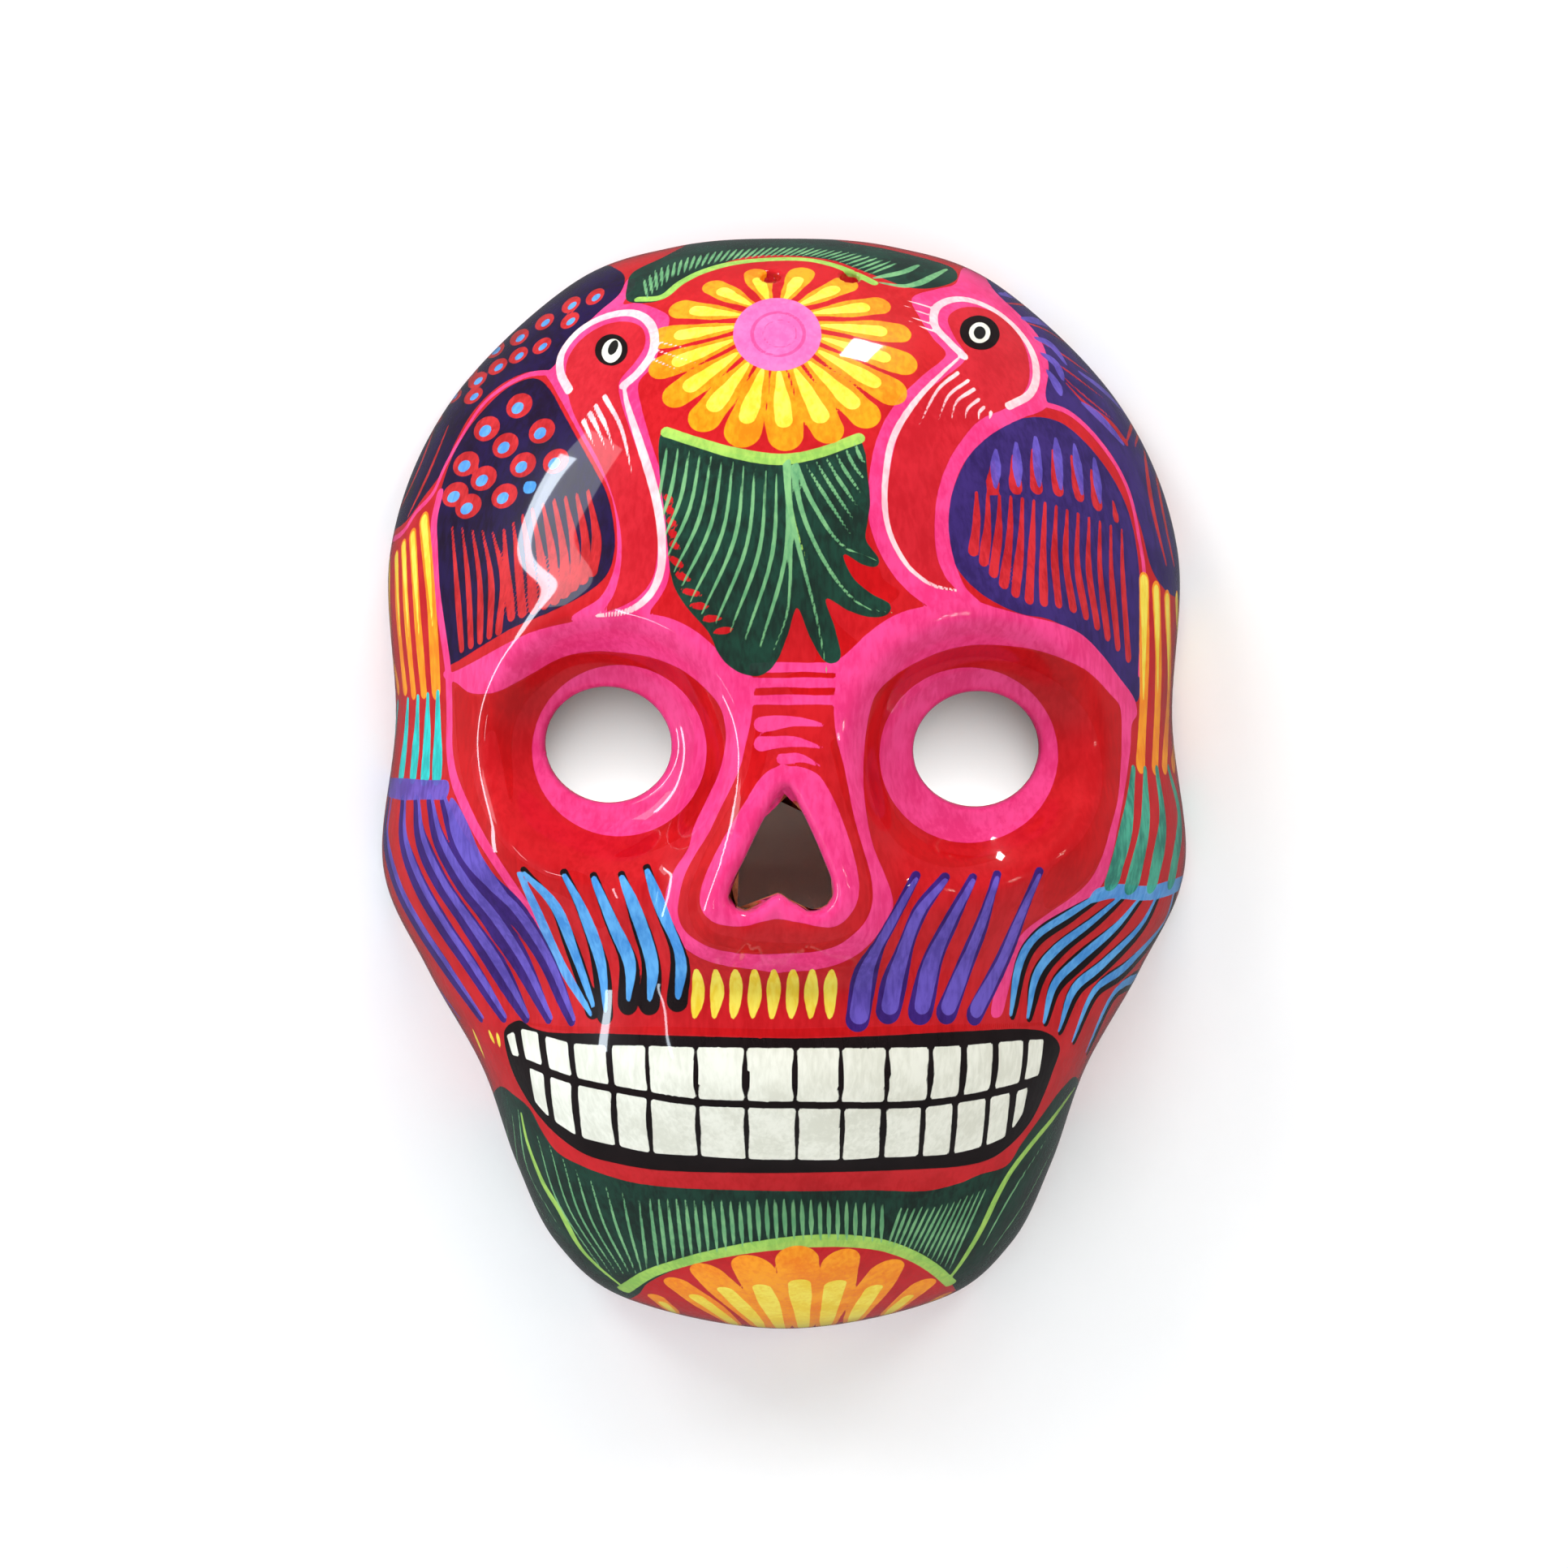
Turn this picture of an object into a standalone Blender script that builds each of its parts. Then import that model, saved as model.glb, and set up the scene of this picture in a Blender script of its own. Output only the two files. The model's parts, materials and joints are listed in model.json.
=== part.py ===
"""Hand-painted fired-clay skull mask: one press-moulded shell that hangs on a wall.

Metres, +Z up.  The flat back rim lies in the plane y = 0, against the wall, and the
face looks along -Y.  The origin is in the rim plane, midway across and up the mask.
"""
import math

import bmesh
import bpy
import numpy as np
from mathutils import Matrix, Vector

# Overall sizes
MASK_WIDTH = 0.185          # across the cheekbones
MASK_HEIGHT = 0.252
MIDDLE_DROP = 0.0033        # the outline's middle lies this far below the face's origin
FACE_DEPTH = 0.074          # the plain dome, before the features are raised on it
WALL = 0.0055               # thickness of the pressed clay

# The plain dome: how square its plan is, and how quickly it falls to the rim
PLAN_POWER = 2.6
SIDE_POWER = 1.9

# Near the middle the dome's level lines are plain ovals; they take on the outline's
# waists and corners only towards the rim
OVAL_WIDTH = 0.170
OVAL_HEIGHT = 0.236

# Eye sockets and the holes through them.  A hand-pressed mask isn't quite even.
EYE_LEFT = (-0.0380, 0.0100)
EYE_RIGHT = (0.0416, 0.0090)
EYE_HOLE_WIDTH = 0.0277
EYE_HOLE_HEIGHT = 0.0250
SOCKET_RADIUS = 0.0255      # where the socket's slope ends at the brow
SOCKET_DEPTH = 0.0105
BROW_RISE = 0.0030
BROW_WIDTH = 0.0085
BROW_TURN = (-0.6, 0.4)     # it grows between these heights beside the eye, in socket radii
BROW_UNDER_SHARE = 0.35     # the share of its rise that is left below the eye

# Nose: a raised wedge with a lipped opening like a heart upside down
NOSE_TOP = 0.024            # height of the bridge above the middle of the mask
NOSE_BOTTOM = -0.0315
NOSE_BRIDGE_HALF_WIDTH = 0.009
NOSE_FOOT_HALF_WIDTH = 0.0190
NOSE_RISE = 0.0115
NOSE_BRIDGE_SHARE = 0.55    # the share of that rise at the bridge
NOSE_BRIDGE_RUN = 0.030     # the bridge climbs out of the brow over this length
NOSE_EDGE = 0.010           # how wide its sloping flanks are
NOSE_LIP_RISE = 0.0014
NOSE_LIP_WIDTH = 0.0055
NOSE_HOLE_CENTRE = (-0.0006, -0.0104)
NOSE_HOLE_WIDTH = 0.0218
NOSE_HOLE_HEIGHT = 0.0255

# The nose opening's outline, clockwise from its top, as shares of its width and height
NOSE_HOLE_OUTLINE = [
    (0.05, 0.50),
    (0.22, 0.28),
    (0.40, -0.06),
    (0.50, -0.31),
    (0.44, -0.45),
    (0.28, -0.50),
    (0.11, -0.43),
    (-0.03, -0.36),
    (-0.17, -0.43),
    (-0.30, -0.50),
    (-0.45, -0.46),
    (-0.50, -0.34),
    (-0.35, -0.07),
    (-0.14, 0.29),
]

# Two holes for a hanging cord, pierced square to the surface near the top edge
HANGING_HOLE_DIAMETER = 0.0045
HANGING_HOLE_SPACING = 0.018
HANGING_HOLE_MIDDLE = 0.0056    # the pair sits a little right of the middle
HANGING_HOLE_HEIGHT = 0.1122

# How finely the shell is meshed
SEGMENTS_ROUND = 76
RINGS_TO_RIM = 27
EYE_HOLE_SIDES = 40
HANGING_HOLE_SIDES = 20
NEARBY = 0.01               # a small step in angle or share, to find which way the clay faces
RIM_OVERRUN = 0.004         # the open surface runs this far past the rim, then is cut flat

# Half of the outline, from the crown to the chin: share of half the width, and
# share of half the height.
OUTLINE = [
    (0.000, 1.000),
    (0.270, 0.985),
    (0.530, 0.915),
    (0.830, 0.700),
    (0.975, 0.440),
    (0.965, 0.130),
    (1.000, -0.140),
    (0.890, -0.330),
    (0.755, -0.510),
    (0.670, -0.690),
    (0.570, -0.840),
    (0.390, -0.945),
    (0.000, -1.000),
]

# Broad lumps and hollows: across, up, half width, half height, rise.  A lump away
# from the middle is made on both sides.
LUMPS = {
    "forehead": (0.000, 0.064, 0.060, 0.040, 0.0040),
    "cheekbone": (0.066, -0.012, 0.017, 0.016, 0.0060),
    "temple": (0.076, 0.026, 0.016, 0.024, -0.0025),
    "cheek_hollow": (0.056, -0.041, 0.014, 0.013, -0.0065),
    "cheek_front": (0.033, -0.024, 0.016, 0.012, 0.0040),
    "upper_jaw": (0.001, -0.046, 0.043, 0.013, 0.0045),
    "teeth_roll": (0.001, -0.064, 0.051, 0.0145, 0.0100),
    "under_lip": (0.002, -0.086, 0.040, 0.007, -0.0020),
    "chin": (0.003, -0.104, 0.026, 0.013, 0.0100),
}
EDGE_FADE_POWER = 7         # features die away towards the rim

CLEARANCE = 0.010           # how far a cutter runs past what it cuts


def clear_scene():
    for old in list(bpy.data.objects):
        bpy.data.objects.remove(old, do_unlink=True)


def new_collection(name):
    collection = bpy.data.collections.new(name)
    bpy.context.scene.collection.children.link(collection)
    return collection


def smooth_step(value, low, high):
    share = np.clip((value - low) / (high - low), 0.0, 1.0)
    return share * share * (3.0 - 2.0 * share)


def bell(distance, width):
    return np.exp(-(distance / width) ** 2)


def spline_span(before, start, end, after, steps):
    """Points of a Catmull-Rom curve from start up to, but without, end."""
    span = []
    for step in range(steps):
        t = step / steps
        span.append(0.5 * (2 * start + (end - before) * t
                           + (2 * before - 5 * start + 4 * end - after) * t ** 2
                           + (3 * start - before - 3 * end + after) * t ** 3))
    return span


def outline_curve(steps_each=12):
    """The outline's right half as (angle, radius) pairs, a Catmull-Rom curve
    through OUTLINE; angles run from the crown down to the chin."""
    half = [Vector((x * MASK_WIDTH / 2, z * MASK_HEIGHT / 2 - MIDDLE_DROP)) for x, z in OUTLINE]
    first = Vector((-half[1].x, half[1].y))
    last = Vector((-half[-2].x, half[-2].y))
    points = [first] + half + [last]
    curve = []
    for i in range(1, len(points) - 2):
        for place in spline_span(*points[i - 1:i + 3], steps_each):
            curve.append((math.atan2(place.x, place.y), place.length))
    curve.append((math.pi, half[-1].length))
    return curve


def rim_radius(angle, curve):
    """Distance from the middle to the outline, at an angle from the crown."""
    angle = min(math.pi, abs(angle))
    for (angle_a, radius_a), (angle_b, radius_b) in zip(curve, curve[1:]):
        if angle <= angle_b:
            share = (angle - angle_a) / max(angle_b - angle_a, 1e-9)
            return radius_a + (radius_b - radius_a) * share
    return curve[-1][1]


def closed_curve(points, steps_each):
    """A closed Catmull-Rom curve through a few points."""
    corners = [Vector(point) for point in points]
    count = len(corners)
    curve = []
    for i in range(count):
        curve += spline_span(*(corners[(i + k) % count] for k in (-1, 0, 1, 2)), steps_each)
    return curve


def nose_outline(steps_each=4):
    """The opening's edge, as points across and up the face."""
    x, z = NOSE_HOLE_CENTRE
    size = Vector((NOSE_HOLE_WIDTH, NOSE_HOLE_HEIGHT))
    return [Vector((x, z)) + place * size for place in closed_curve(NOSE_HOLE_OUTLINE, steps_each)]


def edge_distance(x, z, outline):
    """Distance from a point of the face to the nearest stretch of a closed outline."""
    here = Vector((x, z))
    nearest = []
    for start, end in zip(outline, outline[1:] + outline[:1]):
        share = (here - start).dot(end - start) / (end - start).length_squared
        nearest.append((here - start.lerp(end, min(1.0, max(0.0, share)))).length)
    return min(nearest)


def socket_relief(x, z):
    """A round hollow about each eye, with a brow along its edge, highest above it."""
    rise = 0.0
    for eye_x, eye_z in (EYE_LEFT, EYE_RIGHT):
        away = np.hypot(x - eye_x, z - eye_z)
        inner = EYE_HOLE_WIDTH / 2
        rise -= SOCKET_DEPTH * (1.0 - smooth_step(away, inner, SOCKET_RADIUS + BROW_WIDTH / 2))
        upper = smooth_step((z - eye_z) / SOCKET_RADIUS, *BROW_TURN)
        ridge = bell(away - SOCKET_RADIUS - BROW_WIDTH / 2, BROW_WIDTH)
        rise += BROW_RISE * ridge * (BROW_UNDER_SHARE + (1.0 - BROW_UNDER_SHARE) * upper)
    return rise


def nose_relief(x, z):
    """A wedge that widens and rises from the bridge down to its foot, and a lip
    round its opening."""
    down = smooth_step(-z, -NOSE_TOP, -NOSE_BOTTOM)
    half_width = NOSE_BRIDGE_HALF_WIDTH + (NOSE_FOOT_HALF_WIDTH - NOSE_BRIDGE_HALF_WIDTH) * down
    across = 1.0 - smooth_step(abs(x), half_width - NOSE_EDGE / 2, half_width + NOSE_EDGE)
    top = smooth_step(-z, -NOSE_TOP - NOSE_EDGE, -NOSE_TOP + NOSE_BRIDGE_RUN)
    foot = 1.0 - smooth_step(-z, -NOSE_BOTTOM - NOSE_EDGE / 2, -NOSE_BOTTOM + NOSE_EDGE)
    grown = NOSE_BRIDGE_SHARE + (1.0 - NOSE_BRIDGE_SHARE) * down
    wedge = NOSE_RISE * across * top * foot * grown
    lip = NOSE_LIP_RISE * bell(edge_distance(x, z, nose_outline()), NOSE_LIP_WIDTH)
    return wedge + lip


def lump_relief(x, z):
    rise = 0.0
    for across, up, half_width, half_height, height in LUMPS.values():
        for side in ((1,) if across < 0.01 else (1, -1)):
            share = ((x - side * across) / half_width) ** 2 + ((z - up) / half_height) ** 2
            rise += height * np.exp(-share)
    return rise


def level_radius(angle, share, curve):
    """Distance from the middle to a level line of the dome: an oval near the
    middle of the face, where share is 0, and the outline at the rim, where it is 1."""
    across = math.sin(angle) / (OVAL_WIDTH / 2)
    up = math.cos(angle) / (OVAL_HEIGHT / 2)
    oval = 1.0 / math.hypot(across, up)
    return share * (oval + (rim_radius(angle, curve) - oval) * share ** 2)


def share_at(angle, radius, curve):
    """The level line that passes a point, by halving the interval."""
    low, high = 0.0, 1.0
    for _ in range(30):
        middle = (low + high) / 2
        if level_radius(angle, middle, curve) < radius:
            low = middle
        else:
            high = middle
    return (low + high) / 2


def surface_point(angle, share, curve):
    """The outer surface at an angle from the crown, on one of the level lines."""
    radius = level_radius(angle, share, curve)
    x = radius * math.sin(angle)
    z = radius * math.cos(angle)
    dome = FACE_DEPTH * max(0.0, 1.0 - share ** PLAN_POWER) ** (1.0 / SIDE_POWER)
    fade = 1.0 - share ** EDGE_FADE_POWER
    depth = dome + fade * (socket_relief(x, z) + nose_relief(x, z) + lump_relief(x, z))
    return Vector((x, -depth, z))


def face_surface(name, collection):
    """The open outer skin: a half sphere whose every point is moved onto the face."""
    mesh = bpy.data.meshes.new(name)
    bm = bmesh.new()
    bmesh.ops.create_uvsphere(bm, u_segments=SEGMENTS_ROUND, v_segments=2 * RINGS_TO_RIM, radius=1.0)
    bmesh.ops.rotate(bm, verts=bm.verts, cent=(0, 0, 0), matrix=Matrix.Rotation(math.pi / 2, 3, "X"))
    behind = [v for v in bm.verts if v.co.y > 1e-4]
    bmesh.ops.delete(bm, geom=behind, context="VERTS")
    curve = outline_curve()
    for vert in bm.verts:
        angle = math.atan2(vert.co.x, vert.co.z)
        share = min(1.0, math.hypot(vert.co.x, vert.co.z))
        vert.co = surface_point(angle, share, curve)
    rim = [edge for edge in bm.edges if edge.is_boundary]
    skirt = bmesh.ops.extrude_edge_only(bm, edges=rim)["geom"]
    lower = [item for item in skirt if isinstance(item, bmesh.types.BMVert)]
    bmesh.ops.translate(bm, verts=lower, vec=(0, RIM_OVERRUN, 0))
    bmesh.ops.recalc_face_normals(bm, faces=bm.faces)
    bmesh.ops.triangulate(bm, faces=bm.faces, quad_method="SHORT_EDGE")
    bm.to_mesh(mesh)
    bm.free()
    mesh.polygons.foreach_set("use_smooth", [True] * len(mesh.polygons))
    shell = bpy.data.objects.new(name, mesh)
    collection.objects.link(shell)
    return shell


def as_cutter(cutter, cutters):
    for collection in list(cutter.users_collection):
        collection.objects.unlink(cutter)
    cutters.objects.link(cutter)
    cutter.hide_render = True
    cutter.display_type = "WIRE"
    return cutter


def cut(target, cutter):
    modifier = target.modifiers.new("cut_" + cutter.name, "BOOLEAN")
    modifier.operation = "DIFFERENCE"
    modifier.object = cutter
    modifier.solver = "EXACT"


def eye_cutter(name, centre, cutters):
    """An oval plug, pushed straight through the socket."""
    reach = FACE_DEPTH + 2 * CLEARANCE
    bpy.ops.mesh.primitive_cylinder_add(vertices=EYE_HOLE_SIDES, radius=0.5, depth=reach,
                                        location=(centre[0], -reach / 2 - WALL, centre[1]),
                                        rotation=(math.pi / 2, 0, 0))
    plug = bpy.context.active_object
    plug.name = name
    plug.scale = (EYE_HOLE_WIDTH, EYE_HOLE_HEIGHT, 1.0)
    return as_cutter(plug, cutters)


def nose_cutter(cutters):
    """The nose opening's flat outline, extruded through the face."""
    outline = bpy.data.curves.new("nose_cutter", "CURVE")
    outline.dimensions = "2D"
    outline.fill_mode = "BOTH"
    reach = FACE_DEPTH + 2 * CLEARANCE
    outline.extrude = reach / 2
    edge = nose_outline()
    spline = outline.splines.new("POLY")
    spline.points.add(len(edge) - 1)
    for point, place in zip(spline.points, edge):
        point.co = (place.x, place.y, 0, 1)
    spline.use_cyclic_u = True
    flat = bpy.data.objects.new("nose_outline", outline)
    bpy.context.scene.collection.objects.link(flat)
    flat.location = (0, -reach / 2 - 2 * CLEARANCE, 0)
    flat.rotation_euler = (math.pi / 2, 0, 0)
    bpy.context.view_layer.update()
    evaluated = flat.evaluated_get(bpy.context.evaluated_depsgraph_get())
    mesh = bpy.data.meshes.new_from_object(evaluated)
    bm = bmesh.new()
    bm.from_mesh(mesh)
    bmesh.ops.remove_doubles(bm, verts=bm.verts, dist=1e-6)
    bmesh.ops.recalc_face_normals(bm, faces=bm.faces)
    bm.to_mesh(mesh)
    bm.free()
    plug = bpy.data.objects.new("nose_cutter", mesh)
    plug.matrix_world = flat.matrix_world
    bpy.data.objects.remove(flat, do_unlink=True)
    cutters.objects.link(plug)
    return as_cutter(plug, cutters)


def hanging_hole_cutter(name, x, cutters):
    """A thin plug square to the surface where the clay was pierced."""
    curve = outline_curve()
    angle = math.atan2(x, HANGING_HOLE_HEIGHT)
    share = share_at(angle, math.hypot(x, HANGING_HOLE_HEIGHT), curve)
    here = surface_point(angle, share, curve)
    above = surface_point(angle, share + NEARBY, curve)
    beside = surface_point(angle + NEARBY, share, curve)
    outward = (beside - here).cross(above - here).normalized()
    if outward.y > 0:
        outward = -outward
    turn = Vector((0, 0, 1)).rotation_difference(outward)
    bpy.ops.mesh.primitive_cylinder_add(vertices=HANGING_HOLE_SIDES,
                                        radius=HANGING_HOLE_DIAMETER / 2,
                                        depth=2 * WALL + CLEARANCE, location=here,
                                        rotation=turn.to_euler())
    plug = bpy.context.active_object
    plug.name = name
    return as_cutter(plug, cutters)


def rim_cutter(cutters):
    """A block that takes off everything behind the rim's plane."""
    size = 2 * max(MASK_WIDTH, MASK_HEIGHT)
    bpy.ops.mesh.primitive_cube_add(size=size, location=(0, size / 2, 0))
    block = bpy.context.active_object
    block.name = "rim_cutter"
    return as_cutter(block, cutters)


def painted_clay():
    material = bpy.data.materials.new("painted_clay")
    material.use_nodes = True
    shader = material.node_tree.nodes["Principled BSDF"]
    shader.inputs["Base Color"].default_value = (0.58, 0.02, 0.03, 1)
    shader.inputs["Roughness"].default_value = 0.15
    shader.inputs["Metallic"].default_value = 0.0
    return material


def mask_shell(collection, cutters):
    shell = face_surface("mask_shell", collection)
    shell.data.materials.append(painted_clay())
    wall = shell.modifiers.new("clay_wall", "SOLIDIFY")
    wall.thickness = WALL
    wall.offset = -1.0
    wall.use_even_offset = False
    cut(shell, rim_cutter(cutters))
    cut(shell, eye_cutter("eye_cutter_left", EYE_LEFT, cutters))
    cut(shell, eye_cutter("eye_cutter_right", EYE_RIGHT, cutters))
    cut(shell, nose_cutter(cutters))
    for side, name in ((-1, "hanging_cutter_left"), (1, "hanging_cutter_right")):
        x = HANGING_HOLE_MIDDLE + side * HANGING_HOLE_SPACING / 2
        cut(shell, hanging_hole_cutter(name, x, cutters))
    return shell


def main():
    clear_scene()
    parts = new_collection("clay_skull_mask")
    cutters = new_collection("cutters")
    mask_shell(parts, cutters)


main()
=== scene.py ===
# %% [markdown]
# A hand-painted clay skull mask
#
# The real object is one piece of fired clay. A thin sheet of wet clay is pressed into a
# mould, the eyes, the nose and two hanging holes are cut through it, it is fired, and
# then it is painted with enamels and lacquered until it shines like glass.
#
# This lesson builds it in the same order: the shape of the face as a formula, a fine
# mesh laid over that shape, the holes, the bare inside, and then the painting, stroke
# by stroke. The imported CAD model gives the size, so it is loaded first.

import json
import math

import bmesh
import bpy
import numpy as np
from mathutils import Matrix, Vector
from mathutils.bvhtree import BVHTree
from mathutils.interpolate import poly_3d_calc

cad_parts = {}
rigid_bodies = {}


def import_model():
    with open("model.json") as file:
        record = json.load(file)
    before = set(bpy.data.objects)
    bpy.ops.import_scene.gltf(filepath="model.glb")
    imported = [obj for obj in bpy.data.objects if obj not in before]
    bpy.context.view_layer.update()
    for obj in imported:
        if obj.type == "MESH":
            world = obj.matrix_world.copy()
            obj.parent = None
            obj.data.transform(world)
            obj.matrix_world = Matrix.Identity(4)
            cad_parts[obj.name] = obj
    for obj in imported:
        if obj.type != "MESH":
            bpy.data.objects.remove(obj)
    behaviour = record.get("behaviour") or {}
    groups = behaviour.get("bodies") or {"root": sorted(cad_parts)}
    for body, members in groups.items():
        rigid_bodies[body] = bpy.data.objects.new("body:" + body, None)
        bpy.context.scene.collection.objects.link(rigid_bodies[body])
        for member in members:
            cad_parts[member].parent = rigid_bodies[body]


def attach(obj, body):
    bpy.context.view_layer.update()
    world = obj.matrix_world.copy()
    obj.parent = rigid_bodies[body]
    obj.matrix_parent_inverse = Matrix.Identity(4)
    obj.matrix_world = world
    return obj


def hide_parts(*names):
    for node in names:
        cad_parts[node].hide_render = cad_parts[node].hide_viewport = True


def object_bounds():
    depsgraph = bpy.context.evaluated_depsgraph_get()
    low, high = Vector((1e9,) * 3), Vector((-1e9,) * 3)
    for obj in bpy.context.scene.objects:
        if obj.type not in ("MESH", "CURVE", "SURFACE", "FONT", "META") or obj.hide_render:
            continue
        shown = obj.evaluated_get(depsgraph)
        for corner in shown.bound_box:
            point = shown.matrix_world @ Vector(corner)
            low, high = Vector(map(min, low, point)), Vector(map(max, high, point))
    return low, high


for leftover in list(bpy.data.objects):
    bpy.data.objects.remove(leftover, do_unlink=True)
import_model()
cad_low, cad_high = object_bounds()
MM = 0.001
MASK_WIDTH = cad_high.x - cad_low.x
MASK_HEIGHT = cad_high.z - cad_low.z
MIDDLE_HEIGHT = (cad_high.z + cad_low.z) / 2
print("mask, mm:", [round((b - a) / MM, 1) for a, b in zip(cad_low, cad_high)])

# %% [markdown]
# The viewer's place
#
# The camera comes first, because the painting needs it: a painter works from the
# front, so every stroke below is given as it is seen from there, in millimetres across
# and up from the middle of the mask. A later cell throws those places onto the clay
# along the lines of sight. The viewer stands 0.8 m away, a little above the middle.

# %% camera
VIEW_DISTANCE = 0.80
VIEW_ELEVATION = math.radians(4.0)
VIEW_FIELD = 0.3478             # height of the picture at the distance of the mask
SENSOR = 36.0
TARGET = Vector((0.0, -0.035, 0.0))

toward_viewer = Vector((0.0, -math.cos(VIEW_ELEVATION), math.sin(VIEW_ELEVATION)))
seen_up = Vector((0.0, math.sin(VIEW_ELEVATION), math.cos(VIEW_ELEVATION)))
seen_right = Vector((1.0, 0.0, 0.0))
viewer = TARGET + toward_viewer * VIEW_DISTANCE

camera_data = bpy.data.cameras.new("camera")
camera_data.sensor_width = SENSOR
camera_data.lens = SENSOR * VIEW_DISTANCE / VIEW_FIELD
camera = bpy.data.objects.new("camera", camera_data)
camera.location = viewer
camera.rotation_euler = (-toward_viewer).to_track_quat("-Z", "Y").to_euler()
bpy.context.scene.collection.objects.link(camera)
bpy.context.scene.camera = camera
print("lens, mm:", round(camera_data.lens, 1))

# %% [markdown]
# The shape of the face
#
# A mask could be sculpted by hand, but a formula is easier to keep in step with the
# CAD model. Every point is named by its angle from the crown and its share of the way
# to the rim. The formula is a plain dome plus sockets, a nose, and a few broad lumps,
# with the same sizes as the CAD part. It works on whole arrays of points at once.

# %% sizes of the face
FACE_DEPTH = 74 * MM
WALL = 5.5 * MM
PLAN_POWER = 2.6
SIDE_POWER = 1.9
OVAL_WIDTH = 170 * MM
OVAL_HEIGHT = 236 * MM
EDGE_FADE_POWER = 7

EYE_LEFT = (-38.0 * MM, 10.0 * MM)
EYE_RIGHT = (41.6 * MM, 9.0 * MM)
EYE_HOLE_WIDTH = 27.7 * MM
EYE_HOLE_HEIGHT = 25.0 * MM
SOCKET_RADIUS = 25.5 * MM
SOCKET_DEPTH = 10.5 * MM
BROW_RISE = 3.0 * MM
BROW_WIDTH = 8.5 * MM

NOSE_TOP = 24 * MM
NOSE_BOTTOM = -31.5 * MM
NOSE_BRIDGE_HALF_WIDTH = 9 * MM
NOSE_FOOT_HALF_WIDTH = 19 * MM
NOSE_RISE = 11.5 * MM
NOSE_EDGE = 10 * MM
NOSE_LIP_RISE = 2.2 * MM
NOSE_LIP_WIDTH = 4.2 * MM
NOSE_HOLE_CENTRE = (-0.6 * MM, -10.4 * MM)
NOSE_HOLE_WIDTH = 21.8 * MM
NOSE_HOLE_HEIGHT = 25.5 * MM

HANGING_HOLE_DIAMETER = 4.5 * MM
HANGING_HOLE_SPACING = 18 * MM
HANGING_HOLE_MIDDLE = 5.6 * MM
HANGING_HOLE_HEIGHT = 112.2 * MM

# Half of the outline from the crown to the chin, as shares of half the width and height.
OUTLINE = [
    (0.000, 1.000), (0.270, 0.985), (0.530, 0.915), (0.830, 0.700), (0.975, 0.440),
    (0.965, 0.130), (1.000, -0.140), (0.890, -0.330), (0.755, -0.510), (0.670, -0.690),
    (0.570, -0.840), (0.390, -0.945), (0.000, -1.000),
]

# The nose opening's outline, clockwise from its top, as shares of its width and height.
NOSE_HOLE_OUTLINE = [
    (0.05, 0.50), (0.22, 0.28), (0.40, -0.06), (0.50, -0.31), (0.44, -0.45),
    (0.28, -0.50), (0.11, -0.43), (-0.03, -0.36), (-0.17, -0.43), (-0.30, -0.50),
    (-0.45, -0.46), (-0.50, -0.34), (-0.35, -0.07), (-0.14, 0.29),
]

# Broad lumps and hollows, in millimetres: across, up, half width, half height, rise.
LUMPS = {
    "forehead": (0, 64, 60, 40, 4.0),
    "cheekbone": (66, -12, 17, 16, 6.0),
    "temple": (76, 26, 16, 24, -2.5),
    "cheek_hollow": (56, -41, 14, 13, -6.5),
    "cheek_front": (33, -24, 16, 12, 4.0),
    "upper_jaw": (1, -46, 43, 13, 4.5),
    "teeth_roll": (1, -64, 51, 14.5, 10.0),
    "under_lip": (2, -86, 40, 7, -2.0),
    "chin": (3, -104, 26, 13, 10.0),
}


# %% curves and soft steps
def smooth_step(value, low, high):
    share = np.clip((value - low) / (high - low), 0.0, 1.0)
    return share * share * (3.0 - 2.0 * share)


def bell(distance, width):
    return np.exp(-(distance / width) ** 2)


def smooth_path(points, steps, closed=False):
    """Points of a Catmull-Rom curve that passes through the given ones."""
    corners = np.asarray(points, float)
    if closed:
        corners = np.vstack([corners[-1], corners, corners[0], corners[1]])
    else:
        first = 2 * corners[0] - corners[1]
        last = 2 * corners[-1] - corners[-2]
        corners = np.vstack([first, corners, last])
    a, b, c, d = (corners[k:len(corners) - 3 + k, None, :] for k in range(4))
    t = (np.arange(steps) / steps)[None, :, None]
    path = 0.5 * (2 * b + (c - a) * t + (2 * a - 5 * b + 4 * c - d) * t ** 2
                  + (3 * b - a - 3 * c + d) * t ** 3)
    path = path.reshape(-1, corners.shape[1])
    return path if closed else np.vstack([path, corners[-2]])


# %% the outline as a radius for every angle
half_outline = np.array(OUTLINE) * (MASK_WIDTH / 2, MASK_HEIGHT / 2) + (0, MIDDLE_HEIGHT)
mirrored = half_outline[1:-1][::-1] * (-1, 1)
outline_path = smooth_path(np.vstack([half_outline, mirrored]), 12, closed=True)
outline_angles = np.arctan2(outline_path[:, 0], outline_path[:, 1])
outline_order = np.argsort(outline_angles)
outline_angles = outline_angles[outline_order]
outline_radii = np.hypot(*outline_path.T)[outline_order]


def rim_radius(angle):
    return np.interp(angle, outline_angles, outline_radii, period=2 * math.pi)


def level_radius(angle, share):
    """Distance from the middle to a level line: an oval inside, the outline at the rim."""
    oval = 1.0 / np.hypot(np.sin(angle) / (OVAL_WIDTH / 2), np.cos(angle) / (OVAL_HEIGHT / 2))
    return share * (oval + (rim_radius(angle) - oval) * share ** 2)


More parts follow.
